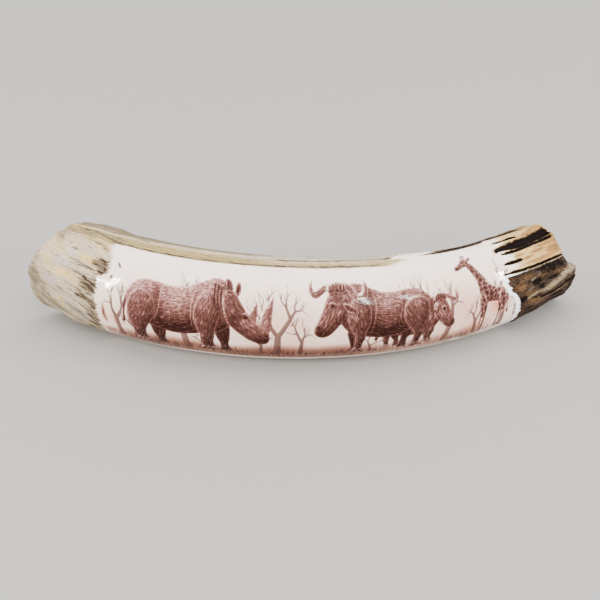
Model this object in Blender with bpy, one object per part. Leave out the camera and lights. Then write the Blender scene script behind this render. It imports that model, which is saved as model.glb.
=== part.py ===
"""Scrimshaw hippopotamus tusk: one lower canine, ground and polished along its outer curve to take an engraving.

Metres, +Z up. The tusk lies on its side with its curve flat on the table: the root end is at -X, the worn tip at +X,
and the polished outer side faces -Y. The origin is on the table, under the middle of the tusk's bounding box.

Every point of the skin is named by a station, the distance along the tusk's centre line, and an angle round it:
0 degrees faces -Y, 90 degrees faces up, 180 degrees is the inner side of the curve.
"""

import bpy
import numpy as np

# The centre line: an arc that straightens a little towards both ends.
CENTRE_START = (-0.0239, -0.0319)  # where station 0 lies, seen from above
HEADING = -0.098  # radians from +X at station 0
BEND = (4.729, 1.272, -24.88)  # curvature per metre at station 0, its slope and its second coefficient

# The cross-section: an oval, flatter on the inner side.
HALF_HEIGHT = (0.0325, -0.0125, -0.05)  # at station 0, its slope and its second coefficient
WIDTH_TO_HEIGHT = 0.87
INNER_FLATTENING = 0.10
INNER_GROOVE = {"angle": 168.0, "half_width": 15.0, "depth": 0.0022}

# The polished panel: the natural skin stands proud all round it.
SKIN_RISE = 0.0009
ROOT_EDGE = (-0.0925, -0.1010)  # station of the polish's start above and below the shoulder
ROOT_EDGE_SHOULDER = (28.0, 38.0)
TIP_EDGE = (0.1555, 0.0080)  # station of the polish's end, and how much earlier it ends at the top
PANEL_TOP = (75.5, 97.0)  # angle of the panel's upper edge, and where it rises to near the tip
PANEL_TOP_CLIMB = (0.060, 0.105)
PANEL_BOTTOM = -74.0
EDGE_RUN = 0.0022  # how far the step at the panel's edge takes to rise
EDGE_TURN = 2.5  # the same in degrees round the tusk

# The root end: a ragged rim with a longer tongue low on the outer side, and the mouth of the pulp cavity.
ROOT_RIM = -0.1430
ROOT_TONGUE = {"angle": -22.0, "half_width": 52.0, "length": 0.0165}
ROOT_TAPER = {"start": -0.118, "end": -0.160, "depth": 0.0024}
PULP_MOUTH = 0.44  # of the section's size
PULP_DEPTH = 0.042

# The worn tip: the outer layer ends short of the core, which shows as a step across the end.
TIP_RIM = 0.2030
TIP_CORE_REACH = 0.0105
TIP_CORE_TOP = (0.07, 0.27)  # heights on the section, from -1 to 1, between which the step rises
TIP_DOME = 0.0030
TIP_ROUNDING = {"run": 0.006, "depth": 0.0018}

# Slots and seams that run along the tip: angle, half width in degrees, first and last station, depth.
TIP_SLOTS = (
    (71.0, 4.6, 0.150, 0.2000, 0.0032),
    (63.0, 1.7, 0.154, 0.2000, 0.0014),
    (82.0, 1.6, 0.145, 0.166, 0.0008),
    (46.0, 1.8, 0.148, 0.161, 0.0008),
    (31.0, 2.0, 0.147, 0.2030, 0.0014),
    (-14.5, 2.2, 0.170, 0.2130, 0.0016),
    (128.0, 3.0, 0.158, 0.2030, 0.0013),
    (-52.0, 3.0, 0.162, 0.2130, 0.0013),
)
# Swellings and hollows of the skin: station, angle, half length, half width in degrees, height.
SWELLINGS = (
    (0.196, -5.0, 0.022, 9.0, 0.0017),
    (0.172, 14.0, 0.013, 9.0, -0.0013),
    (0.160, -28.0, 0.010, 15.0, 0.0008),
    (0.187, 112.0, 0.012, 13.0, 0.0016),
    (0.202, 90.0, 0.012, 12.0, 0.0010),
    (0.208, -32.0, 0.012, 14.0, 0.0014),
    (-0.102, 36.0, 0.011, 7.0, -0.0011),
    (-0.111, 14.0, 0.012, 9.0, -0.0010),
    (-0.109, -5.0, 0.008, 6.0, -0.0008),
    (-0.140, 30.0, 0.012, 22.0, 0.0010),
    (-0.128, -40.0, 0.018, 18.0, 0.0009),
    (-0.155, -38.0, 0.012, 16.0, 0.0022),
    (-0.140, 95.0, 0.014, 25.0, -0.0012),
)

FLUTES = ((13, 0.00034, 0.0), (23, 0.00018, 1.1))  # ridges round the tusk, their height and phase
FLUTE_WANDER = 3.0  # degrees
LUMPS = 0.00045  # roughness of the natural ends

# The underside is worn flat where the tusk rests.
UNDERSIDE_WEAR = 0.0005

# How the skin is divided: stretches along the tusk and round it, each with its number of divisions.
STATION_STRETCHES = ((-0.150, -0.086, 17), (-0.086, 0.138, 26), (0.138, 0.205, 21))
ANGLE_STRETCHES = ((-96, -84, 4), (-84, 24, 15), (24, 60, 8), (60, 102, 15), (102, 264, 21))
RIM_FADE = 0.050  # how far from an end its slanted rim is felt
ROOT_FACE_SIZES = (0.93, 0.78, 0.60, PULP_MOUTH)
TIP_FACE_SIZES = (0.93, 0.72, 0.45, 0.20)
PULP_SIZES = (0.40, 0.33, 0.22, 0.10)

IVORY = (0.82, 0.76, 0.70, 1.0)
IVORY_ROUGHNESS = 0.32


def blend(low, high, value):
    """0 at low and 1 at high, with a soft start and end; low may be the larger."""
    t = np.clip((value - low) / (high - low), 0.0, 1.0)
    return t * t * (3.0 - 2.0 * t)


def bump(distance):
    """1 at distance 0, falling softly to 0 at distance 1."""
    return (1.0 - np.clip(np.abs(distance), 0.0, 1.0) ** 2) ** 2


def turn_from(angle, middle):
    """Signed degrees from middle to angle, the short way round."""
    return (angle - middle + 180.0) % 360.0 - 180.0


def signed(angle):
    """The angle as -180 to 180 degrees."""
    return turn_from(angle, 0.0)


def centre_line(stations):
    """x, y and heading of the centre line at each station."""
    start, slope, second = BEND
    fine = np.linspace(-0.24, 0.24, 961)
    heading = HEADING + fine * (start + fine * (slope / 2 + fine * second / 3))
    step = fine[1] - fine[0]
    run_x = np.cumsum(np.cos(heading)) * step
    run_y = np.cumsum(np.sin(heading)) * step
    x = np.interp(stations, fine, run_x) - np.interp(0.0, fine, run_x) + CENTRE_START[0]
    y = np.interp(stations, fine, run_y) - np.interp(0.0, fine, run_y) + CENTRE_START[1]
    return x, y, np.interp(stations, fine, heading)


def half_height(station):
    start, slope, second = HALF_HEIGHT
    return start + station * (slope + station * second)


def panel_share(station, angle):
    """1 on the polished panel, 0 on the natural skin, with a step between them."""
    side = signed(angle)
    root = ROOT_EDGE[1] + (ROOT_EDGE[0] - ROOT_EDGE[1]) * blend(*ROOT_EDGE_SHOULDER, side)
    tip = TIP_EDGE[0] - TIP_EDGE[1] * blend(-5.0, 35.0, side)
    top = PANEL_TOP[0] + (PANEL_TOP[1] - PANEL_TOP[0]) * blend(*PANEL_TOP_CLIMB, station)
    along = blend(root - EDGE_RUN, root, station) * blend(tip + EDGE_RUN, tip, station)
    around = blend(PANEL_BOTTOM - EDGE_TURN, PANEL_BOTTOM, side) * blend(top + EDGE_TURN, top, side)
    return along * around


def flutes(station, angle):
    """The long shallow ridges of the natural skin."""
    wander = FLUTE_WANDER * np.sin(station / 0.045) + 0.4 * FLUTE_WANDER * np.sin(station / 0.019)
    turned = np.radians(angle + wander)
    return sum(height * np.sin(count * turned + phase) for count, height, phase in FLUTES)


def lumps(station, angle):
    """Uneven roughness of the two natural ends."""
    turned = np.radians(angle)
    broad = np.sin(5 * turned + station / 0.011) * np.sin(station / 0.0075 + 2 * turned)
    small = np.sin(9 * turned - station / 0.006 + 1.7)
    ends = blend(-0.085, -0.110, station) + blend(0.150, 0.165, station)
    return LUMPS * ends * (broad + 0.6 * small)


def slots(station, angle):
    """Depth of the slots and seams along the tip."""
    depth = np.zeros(np.broadcast(station, angle).shape)
    for middle, half_width, first, last, deepest in TIP_SLOTS:
        opening = blend(first, first + 0.014, station) * blend(last + 0.003, last, station)
        across = bump(turn_from(angle, middle) / (1.25 * half_width * (0.35 + 0.65 * opening)))
        depth = np.maximum(depth, deepest * across ** 0.6 * opening)
    return depth


def swellings(station, angle):
    """Height of the local swellings, and depth of the hollows."""
    height = np.zeros(np.broadcast(station, angle).shape)
    for middle, side, half_length, half_width, rise in SWELLINGS:
        along = bump((station - middle) / (1.5 * half_length))
        height = height + rise * along * bump(turn_from(angle, side) / (1.5 * half_width))
    return height


def relief(station, angle):
    """How far the skin stands out from the plain oval."""
    natural = 1.0 - panel_share(station, angle)
    groove = INNER_GROOVE["depth"] * bump(turn_from(angle, INNER_GROOVE["angle"]) / (2 * INNER_GROOVE["half_width"]))
    taper = ROOT_TAPER["depth"] * blend(ROOT_TAPER["start"], ROOT_TAPER["end"], station)
    skin = SKIN_RISE + flutes(station, angle) + lumps(station, angle)
    return natural * skin + swellings(station, angle) - slots(station, angle) - groove - taper


def section(station, angle, size, lift):
    """Points at a share of the section's size, standing out by lift, as x, y and z."""
    x, y, heading = centre_line(station)
    turned = np.radians(angle)
    tall = half_height(station)
    inner = 1.0 - INNER_FLATTENING * np.where(np.cos(turned) < 0, np.cos(turned) ** 2, 0.0)
    outward = (size * tall * WIDTH_TO_HEIGHT * inner + lift) * np.cos(turned)
    upward = tall + (size * tall + lift) * np.sin(turned)
    level = np.maximum(upward - UNDERSIDE_WEAR, 0.0)
    return np.stack([x + np.sin(heading) * outward, y - np.cos(heading) * outward, level], axis=-1)


def root_end(angle, size):
    """Station of the root's end face."""
    tongue = bump(turn_from(angle, ROOT_TONGUE["angle"]) / (2 * ROOT_TONGUE["half_width"]))
    turned = np.radians(angle)
    ragged = 0.0007 * np.sin(7 * turned) + 0.0005 * np.sin(17 * turned + 1.0)
    return ROOT_RIM - size ** 2 * (ROOT_TONGUE["length"] * tongue + ragged)


def tip_end(angle, size):
    """Station of the worn tip's end face."""
    height = size * np.sin(np.radians(angle))
    core = TIP_CORE_REACH * blend(TIP_CORE_TOP[1], TIP_CORE_TOP[0], height)
    return TIP_RIM + core + TIP_DOME * (1.0 - size ** 2)


def tip_rounding(station, end):
    """How far the skin turns in at the worn tip's rim."""
    near = np.clip(1.0 - (end - station) / TIP_ROUNDING["run"], 0.0, 1.0)
    return TIP_ROUNDING["depth"] * near ** 2


def skin_ring(nominal, angles):
    """One ring of the skin: straight across at mid length, slanted like the rim near an end."""
    first = STATION_STRETCHES[0][0]
    last = STATION_STRETCHES[-1][1]
    to_root = np.clip(1.0 - (nominal - first) / RIM_FADE, 0.0, 1.0)
    to_tip = np.clip(1.0 - (last - nominal) / RIM_FADE, 0.0, 1.0)
    end = tip_end(angles, 1.0)
    station = nominal + to_root * (root_end(angles, 1.0) - first) + to_tip * (end - last)
    return section(station, angles, 1.0, relief(station, angles) - tip_rounding(station, end))


def face_ring(end_of, angles, size, end_relief):
    """One ring of an end face, smaller than its rim."""
    return section(end_of(angles, size), angles, size, end_relief * size)


def pulp_ring(angles, size):
    """One ring of the pulp cavity, which narrows as it runs in from the root."""
    inward = PULP_DEPTH * (1.0 - (size / PULP_MOUTH) ** 2)
    return section(root_end(angles, PULP_MOUTH) + inward, angles, size, 0.0)


def tusk_rings():
    """Every ring in order: out of the pulp cavity, over the root's face, along the skin, over the tip's face."""
    angles = np.concatenate([np.linspace(a, b, n, endpoint=False) for a, b, n in ANGLE_STRETCHES])
    pieces = [np.linspace(a, b, n, endpoint=False) for a, b, n in STATION_STRETCHES]
    nominal = np.append(np.concatenate(pieces), STATION_STRETCHES[-1][1])
    root_relief = relief(root_end(angles, 1.0), angles)
    tip_relief = relief(tip_end(angles, 1.0), angles) - TIP_ROUNDING["depth"]
    rings = [pulp_ring(angles, size) for size in reversed(PULP_SIZES)]
    rings += [face_ring(root_end, angles, size, root_relief) for size in reversed(ROOT_FACE_SIZES)]
    rings += [skin_ring(station, angles) for station in nominal]
    rings += [face_ring(tip_end, angles, size, tip_relief) for size in TIP_FACE_SIZES]
    return rings


def closed_loft(rings):
    """Vertices and faces of a skin over the rings, with a fan at each end."""
    count = len(rings[0])
    vertices = [tuple(point) for ring in rings for point in ring]
    faces = []
    for row in range(len(rings) - 1):
        for column in range(count):
            here = row * count + column
            beside = row * count + (column + 1) % count
            faces.append((here, here + count, beside + count, beside))
    first_pole = len(vertices)
    last_pole = first_pole + 1
    last_row = (len(rings) - 1) * count
    vertices += [tuple(np.mean(rings[0], axis=0)), tuple(np.mean(rings[-1], axis=0))]
    for column in range(count):
        beside = (column + 1) % count
        faces.append((first_pole, column, beside))
        faces.append((last_pole, last_row + beside, last_row + column))
    return vertices, faces


def ivory():
    material = bpy.data.materials.new("ivory")
    material.use_nodes = True
    shader = material.node_tree.nodes["Principled BSDF"]
    shader.inputs["Base Color"].default_value = IVORY
    shader.inputs["Roughness"].default_value = IVORY_ROUGHNESS
    shader.inputs["Metallic"].default_value = 0.0
    return material


def make_tusk(collection):
    mesh = bpy.data.meshes.new("tusk")
    vertices, faces = closed_loft(tusk_rings())
    mesh.from_pydata(vertices, [], faces)
    mesh.materials.append(ivory())
    mesh.shade_smooth()
    mesh.set_sharp_from_angle(angle=np.radians(40.0))
    tusk = bpy.data.objects.new("tusk", mesh)
    collection.objects.link(tusk)
    return tusk


def main():
    for leftover in list(bpy.data.objects):
        bpy.data.objects.remove(leftover, do_unlink=True)
    collection = bpy.data.collections.new("scrimshaw_hippopotamus_tusk")
    bpy.context.scene.collection.children.link(collection)
    make_tusk(collection)


main()
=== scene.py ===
"""The finish of a scrimshaw hippopotamus tusk: its engraved panel, its weathered skin and its stained tip.

Metres, +Z up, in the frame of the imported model. A place on the tusk is named by a station along the centre
line and an angle around it: 0 degrees faces -Y, 90 degrees up, 180 degrees the inner side of the curve. The
engraving is drawn in millimetres along and up the panel, and the material reads it from the mesh.
"""

import math

import bpy
import numpy as np
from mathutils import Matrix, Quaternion, Vector


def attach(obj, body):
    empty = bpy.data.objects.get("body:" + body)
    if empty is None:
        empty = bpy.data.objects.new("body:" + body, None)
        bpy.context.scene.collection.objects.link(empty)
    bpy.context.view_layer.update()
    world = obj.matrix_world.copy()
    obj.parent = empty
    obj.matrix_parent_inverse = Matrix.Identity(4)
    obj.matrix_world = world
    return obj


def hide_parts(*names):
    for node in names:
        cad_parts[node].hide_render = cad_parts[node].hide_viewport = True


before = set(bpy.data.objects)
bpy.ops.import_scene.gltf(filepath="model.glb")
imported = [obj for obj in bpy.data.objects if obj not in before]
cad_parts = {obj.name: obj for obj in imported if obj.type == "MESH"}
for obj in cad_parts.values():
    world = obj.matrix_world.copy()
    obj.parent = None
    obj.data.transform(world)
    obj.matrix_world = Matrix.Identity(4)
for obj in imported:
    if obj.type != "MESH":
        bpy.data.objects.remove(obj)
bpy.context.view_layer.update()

MM = 0.001

# ------------ the tusk's form, as it is constructed

CENTRE_START = (-0.0239, -0.0319)
HEADING = -0.098
BEND = (4.729, 1.272, -24.88)
HALF_HEIGHT = (0.0325, -0.0125, -0.05)
WIDTH_TO_HEIGHT = 0.868
INNER_FLATTENING = 0.10
INNER_GROOVE = {"angle": 168.0, "half_width": 15.0, "depth": 0.0022}
SKIN_RISE = 0.0009
ROOT_EDGE = (-0.0950, -0.1008)
ROOT_EDGE_SHOULDER = (28.0, 38.0)
ROOT_EDGE_CORNER = {"from": 54.0, "to": 66.0, "back": 0.0040}  # high on the root the panel starts earlier
TIP_EDGE = (0.1560, 0.0115)
TIP_EDGE_SHOULDER = (-20.0, 30.0)
PANEL_TOP = (75.5, 97.0)
PANEL_TOP_CLIMB = (0.070, 0.104)
PANEL_TOP_TIP = {"from": 0.125, "to": 0.158, "rise": 8.0}
PANEL_BOTTOM = -74.0
EDGE_RUN = 0.0016
ROOT_FRAYS = ((2.1, 0.0013, 11), (0.8, 0.0013, 12), (0.3, 0.0005, 17))  # spacing, depth and seed of each
ROOT_FRAYS_END = (60.0, 48.0)
TIP_FRAYS = ((3.1, 0.0010, 13), (1.2, 0.0008, 14))
TOP_FRAYS = ((0.013, 0.4, 15), (0.004, 0.2, 16))
ROOT_RIM = -0.1430
ROOT_TONGUE = {"angle": -22.0, "half_width": 52.0, "length": 0.0165}
ROOT_TAPER = {"start": -0.118, "end": -0.160, "depth": 0.0024}
# Angles and stations where a flat cut across the root's end starts.
ROOT_CUT = ((-60.0, -10.0, 6.5, 9.0, 14.0), (-0.1385, -0.1420, -0.1465, -0.1520, -0.1640))
ROOT_CUT_SLOPE = 0.05
ROOT_CUT_END = (-110.0, -60.0)
PULP_MOUTH = 0.44
PULP_DEPTH = 0.042
TIP_RIM = 0.2030
TIP_CORE_REACH = 0.0105
TIP_CORE_TOP = (0.07, 0.27)
TIP_DOME = 0.0030
TIP_ROUNDING = {"run": 0.006, "depth": 0.0018}
TIP_DENT = {"angle": 45.0, "half_width": 35.0, "depth": 0.0034}
# Each slot or seam of the tip: its angle at either end, half width in degrees, first and last station,
# how far along it widens, and its depth.
TIP_SLOTS = (
    (69, 75, 6.9, 0.1375, 0.198, 0.033, 0.0032), (60.5, 63.8, 1.9, 0.144, 0.1955, 0.012, 0.0014),
    (83.5, 86, 1.7, 0.145, 0.17, 0.008, 0.0007), (47, 47, 1.8, 0.1445, 0.159, 0.005, 0.0008),
    (34.5, 33, 1.4, 0.141, 0.203, 0.01, 0.0014), (-12, -7, 2.2, 0.17, 0.213, 0.014, 0.0016),
    (128, 128, 3, 0.158, 0.203, 0.014, 0.0013), (-52, -52, 3, 0.162, 0.213, 0.014, 0.0013),
)
# Each swelling or hollow: station, angle, half length, half width in degrees, and how far it stands out.
SWELLINGS = (
    (0.196, -5, 0.022, 9, 0.0017), (0.172, 14, 0.013, 9, -0.0013), (0.16, -28, 0.01, 15, 0.0008),
    (0.187, 112, 0.012, 13, 0.0002), (0.202, 90, 0.012, 12, 0.001), (0.208, -32, 0.012, 14, 0.0014),
    (-0.102, 36, 0.011, 7, -0.0011), (-0.111, 14, 0.012, 9, -0.001), (-0.109, -5, 0.008, 6, -0.0008),
    (-0.14, 30, 0.012, 22, 0.001), (-0.128, -40, 0.018, 18, 0.0009), (-0.155, -38, 0.012, 16, 0.0022),
    (-0.14, 95, 0.014, 25, -0.0012), (0.19, -45, 0.022, 16, -0.0014), (-0.135, -60, 0.026, 20, -0.0013),
    (-0.118, 120, 0.018, 13, 0.001), (0.062, 108, 0.028, 14, -0.001), (0.12, 118, 0.03, 13, -0.0022),
    (0.113, -52, 0.005, 9, -0.001),
)
FLUTES = ((13, 0.00034, 0.0), (23, 0.00018, 1.1))  # count around the tusk, height and phase of each
FLUTE_WANDER = 3.0  # degrees to and fro along the tusk
FLUTE_WAVES = (0.045, 0.019)  # lengths of its waves over two pi
ROOT_RAGGED = ((7, 0.0007, 0.0), (17, 0.0005, 1.0))  # likewise around the root's rim
LUMPS = 0.00045
UNDERSIDE_WEAR = 0.0005
NOISE_VALUES = 4096


def blend(low, high, value):
    """0 at low and 1 at high, with a soft start and end; low may be the larger."""
    t = np.clip((value - low) / (high - low), 0.0, 1.0)
    return t * t * (3.0 - 2.0 * t)


def window(value, start, full, fade, end):
    """1 between full and fade, falling softly to 0 at start and at end."""
    return blend(start, full, value) * blend(end, fade, value)


def ridge(distance, width):
    """1 at distance 0, falling off as a bell curve."""
    return np.exp(-(distance / width) ** 2)


def strongest(*amounts):
    return np.maximum.reduce(amounts)


def bump(distance):
    """1 at distance 0, falling softly to 0 at distance 1."""
    return (1.0 - np.clip(np.abs(distance), 0.0, 1.0) ** 2) ** 2


def turn_from(angle, middle):
    """Signed degrees from middle to angle, the short way round."""
    return (angle - middle + 180.0) % 360.0 - 180.0


def signed(angle):
    return turn_from(angle, 0.0)


def fibres(value, seed):
    """Smooth noise from -1 to 1 along one coordinate, with a new value at each whole number."""
    table = np.random.default_rng(seed).uniform(-1.0, 1.0, NOISE_VALUES)
    cell = np.floor(value).astype(int)
    share = blend(0.0, 1.0, value - cell)
    return table[cell % NOISE_VALUES] * (1.0 - share) + table[(cell + 1) % NOISE_VALUES] * share


def ripples(angle, waves):
    """Waves around the tusk together, each with its count, height and phase."""
    turned = np.radians(angle)
    return sum(height * np.sin(count * turned + phase) for count, height, phase in waves)


def frays(value, sizes):
    """Fibres of several sizes together, each with its spacing, depth and seed."""
    return sum(depth * fibres(value / spacing, seed) for spacing, depth, seed in sizes)


def centre_line(stations):
    """x, y and heading of the centre line at each station."""
    start, slope, second = BEND
    fine = np.linspace(-0.24, 0.24, 961)
    heading = HEADING + fine * (start + fine * (slope / 2 + fine * second / 3))
    step = fine[1] - fine[0]
    run_x = np.cumsum(np.cos(heading)) * step
    run_y = np.cumsum(np.sin(heading)) * step
    x = np.interp(stations, fine, run_x) - np.interp(0.0, fine, run_x) + CENTRE_START[0]
    y = np.interp(stations, fine, run_y) - np.interp(0.0, fine, run_y) + CENTRE_START[1]
    return x, y, np.interp(stations, fine, heading)


def half_height(station):
    start, slope, second = HALF_HEIGHT
    return start + station * (slope + station * second)


def panel_depth(station, angle):
    """How far inside the polished panel a place lies; negative on the natural skin, along frayed edges."""
    side = signed(angle)
    root = ROOT_EDGE[1] + (ROOT_EDGE[0] - ROOT_EDGE[1]) * blend(*ROOT_EDGE_SHOULDER, side)
    root = root - ROOT_EDGE_CORNER["back"] * blend(ROOT_EDGE_CORNER["from"], ROOT_EDGE_CORNER["to"], side)
    root = root + frays(side, ROOT_FRAYS) * blend(*ROOT_FRAYS_END, side)
    tip = TIP_EDGE[0] - TIP_EDGE[1] * blend(*TIP_EDGE_SHOULDER, side) + frays(side, TIP_FRAYS)
    top = PANEL_TOP[0] + (PANEL_TOP[1] - PANEL_TOP[0]) * blend(*PANEL_TOP_CLIMB, station)
    top = top + PANEL_TOP_TIP["rise"] * blend(PANEL_TOP_TIP["from"], PANEL_TOP_TIP["to"], station)
    top = top + frays(station, TOP_FRAYS)
    per_degree = math.radians(half_height(0.0))
    around = np.minimum(top - side, side - PANEL_BOTTOM) * per_degree
    return np.minimum.reduce((station - root, tip - station, around))


def flutes(station, angle):
    """The long shallow ridges of the natural skin."""
    wander = FLUTE_WANDER * (np.sin(station / FLUTE_WAVES[0]) + 0.4 * np.sin(station / FLUTE_WAVES[1]))
    return ripples(angle + wander, FLUTES)


def lumps(station, angle):
    """Uneven roughness of the two natural ends."""
    turned = np.radians(angle)
    broad = np.sin(5 * turned + station / 0.011) * np.sin(station / 0.0075 + 2 * turned)
    small = np.sin(9 * turned - station / 0.006 + 1.7)
    ends = blend(-0.085, -0.110, station) + blend(0.150, 0.165, station)
    return LUMPS * ends * (broad + 0.6 * small)


def slot_shares(station, angle, slot):
    """How wide open a slot is at each station, and how far across it each place lies, in half widths."""
    start, end, half_width, first, last, run = slot[:-1]
    opening = window(station, first, first + run, last, last + 0.003)
    middle = start + (end - start) * np.clip((station - first) / (last - first), 0.0, 1.0)
    return opening, np.abs(turn_from(angle, middle)) / (half_width * (0.35 + 0.65 * opening))


def slots(station, angle):
    """Depth of the slots and seams along the tip."""
    depth = np.zeros(np.broadcast(station, angle).shape)
    for slot in TIP_SLOTS:
        opening, across = slot_shares(station, angle, slot)
        depth = np.maximum(depth, slot[-1] * bump(across / 1.25) ** 0.6 * opening)
    return depth


def swellings(station, angle):
    """Height of the local swellings, and depth of the hollows."""
    height = np.zeros(np.broadcast(station, angle).shape)
    for middle, side, half_length, half_width, rise in SWELLINGS:
        along = bump((station - middle) / (1.5 * half_length))
        height = height + rise * along * bump(turn_from(angle, side) / (1.5 * half_width))
    return height


def relief(station, angle):
    """How far the skin stands out from the plain oval."""
    natural = blend(0.0, -EDGE_RUN, panel_depth(station, angle))
    across = turn_from(angle, INNER_GROOVE["angle"]) / (2 * INNER_GROOVE["half_width"])
    groove = INNER_GROOVE["depth"] * bump(across)
    taper = ROOT_TAPER["depth"] * blend(ROOT_TAPER["start"], ROOT_TAPER["end"], station)
    cut_start = np.interp(signed(angle), *ROOT_CUT)
    cut = ROOT_CUT_SLOPE * np.maximum(cut_start - station, 0.0) * blend(*ROOT_CUT_END, signed(angle))
    skin = SKIN_RISE + flutes(station, angle) + lumps(station, angle)
    return natural * skin + swellings(station, angle) - slots(station, angle) - groove - taper - cut


def section(station, angle, size, lift):
    """Points at a share of the section's size, standing out by lift."""
    x, y, heading = centre_line(station)
    turned = np.radians(angle)
    tall = half_height(station)
    inner = 1.0 - INNER_FLATTENING * np.where(np.cos(turned) < 0, np.cos(turned) ** 2, 0.0)
    outward = (size * tall * WIDTH_TO_HEIGHT * inner + lift) * np.cos(turned)
    upward = tall + (size * tall + lift) * np.sin(turned)
    level = np.maximum(upward - UNDERSIDE_WEAR, 0.0)
    return np.stack([x + np.sin(heading) * outward, y - np.cos(heading) * outward, level], axis=-1)


def root_end(angle, size):
    """Station of the root's end face."""
    tongue = bump(turn_from(angle, ROOT_TONGUE["angle"]) / (2 * ROOT_TONGUE["half_width"]))
    return ROOT_RIM - size ** 2 * (ROOT_TONGUE["length"] * tongue + ripples(angle, ROOT_RAGGED))


def tip_end(angle, size):
    """Station of the worn tip's end face."""
    height = size * np.sin(np.radians(angle))
    core = TIP_CORE_REACH * blend(TIP_CORE_TOP[1], TIP_CORE_TOP[0], height)
    dent = TIP_DENT["depth"] * size * bump(turn_from(angle, TIP_DENT["angle"]) / TIP_DENT["half_width"])
    return TIP_RIM + core - dent + TIP_DOME * (1.0 - size ** 2)


def tip_rounding(station, end):
    near = np.clip(1.0 - (end - station) / TIP_ROUNDING["run"], 0.0, 1.0)
    return TIP_ROUNDING["depth"] * near ** 2


# ------------ the skin, as one closed loft

# Where each stretch starts and ends, and how many divisions it has: they lie closest over the engraving.
STATION_STRETCHES = ((-0.150, -0.104, 40), (-0.104, 0.152, 425), (0.152, 0.205, 50))
ANGLE_STRETCHES = ((-90, -48, 16), (-48, 74, 109), (74, 102, 17), (102, 270, 40))
RIM_FADE = 0.050
ROOT_FACE_SIZES = (0.97, 0.91, 0.82, 0.73, 0.64, 0.55, 0.49, PULP_MOUTH)
TIP_FACE_SIZES = (0.97, 0.91, 0.82, 0.70, 0.56, 0.42, 0.28, 0.14)
PULP_SIZES = (0.42, 0.39, 0.34, 0.28, 0.20, 0.10)


def skin_ring(nominal, angles):
    """Stations and points of one ring of the skin, slanted towards the ragged rims at the two ends."""
    first = STATION_STRETCHES[0][0]
    last = STATION_STRETCHES[-1][1]
    to_root = np.clip(1.0 - (nominal - first) / RIM_FADE, 0.0, 1.0)
    to_tip = np.clip(1.0 - (last - nominal) / RIM_FADE, 0.0, 1.0)
    end = tip_end(angles, 1.0)
    station = nominal + to_root * (root_end(angles, 1.0) - first) + to_tip * (end - last)
    return station, section(station, angles, 1.0, relief(station, angles) - tip_rounding(station, end))


def divisions(stretches):
    return np.concatenate([np.linspace(*stretch, endpoint=False) for stretch in stretches])


def tusk_grid():
    """Rings out of the pulp cavity, along the skin and over the tip: stations, angles, sizes and points."""
    angles = divisions(ANGLE_STRETCHES)
    root_relief = relief(root_end(angles, 1.0), angles)
    tip_relief = relief(tip_end(angles, 1.0), angles) - TIP_ROUNDING["depth"]
    rings = []
    for size in reversed(PULP_SIZES):
        station = root_end(angles, PULP_MOUTH) + PULP_DEPTH * (1.0 - (size / PULP_MOUTH) ** 2)
        rings.append((station, section(station, angles, size, 0.0), size))
    for size in reversed(ROOT_FACE_SIZES):
        station = root_end(angles, size)
        rings.append((station, section(station, angles, size, root_relief * size), size))
    for nominal in np.append(divisions(STATION_STRETCHES), STATION_STRETCHES[-1][1]):
        station, points = skin_ring(nominal, angles)
        rings.append((station, points, 1.0))
    for size in TIP_FACE_SIZES:
        station = tip_end(angles, size)
        rings.append((station, section(station, angles, size, tip_relief * size), size))
    stations = np.stack([station for station, points, size in rings])
    sizes = np.array([size for station, points, size in rings])
    return stations, angles, sizes, np.stack([points for station, points, size in rings])


def closed_loft(points):
    """Vertices and faces over the rings, with a fan to a pole at each end; the poles come last."""
    rings, count = points.shape[:2]
    index = np.arange(rings * count).reshape(rings, count)
    here = index[:-1]
    above = index[1:]
    sides = np.stack([here, above, np.roll(above, -1, axis=1), np.roll(here, -1, axis=1)], axis=-1)
    first_pole = rings * count
    first_fan = [(first_pole, a, b) for a, b in zip(index[0], np.roll(index[0], -1))]
    last_fan = [(first_pole + 1, b, a) for a, b in zip(index[-1], np.roll(index[-1], -1))]
    vertices = np.concatenate([points.reshape(-1, 3), [points[0].mean(axis=0), points[-1].mean(axis=0)]])
    return vertices, sides.reshape(-1, 4).tolist() + first_fan + last_fan


def at_vertices(grid, at_poles):
    """A value for each ring and column as one value for each vertex."""
    return np.append(grid.ravel(), at_poles)


def set_attribute(mesh, name, values):
    kind, field = ("FLOAT", "value") if values.ndim == 1 else ("FLOAT_VECTOR", "vector")
    attribute = mesh.attributes.new(name, kind, "POINT")
    attribute.data.foreach_set(field, np.ascontiguousarray(values, np.float32).ravel())


# ------------ drawing on the panel, in millimetres

SOFT = 0.28  # half the width over which a stroke's edge fades
INK_REACH = 0.7  # how far an animal's shading runs on past its outline, so that the outline alone cuts it
HAIRLINE = 0.55  # the finest scratches are far finer, and are drawn this wide to be seen
RIM_INSET, RIM_WIDTH = 0.40, 0.46  # the pale scratch just inside an animal's outline
FAR = 9.0
DAYLIGHT = np.array([-0.45, 0.90])  # the side that the animals are lit from
PANEL_RADIUS = 30.5
FOOT_LINE = -38.0  # the angle on the tusk where the ground lies, sinking towards the root
FOOT_SINK = 6.0
PATH_STEPS = 6  # between two points of an outline
CROWN_FALL = 0.35  # share of a tree's height by which its crown falls away at its sides
OUTER_STRETCH = 1.11  # the outer side of the curve is this much longer than the centre line


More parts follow.
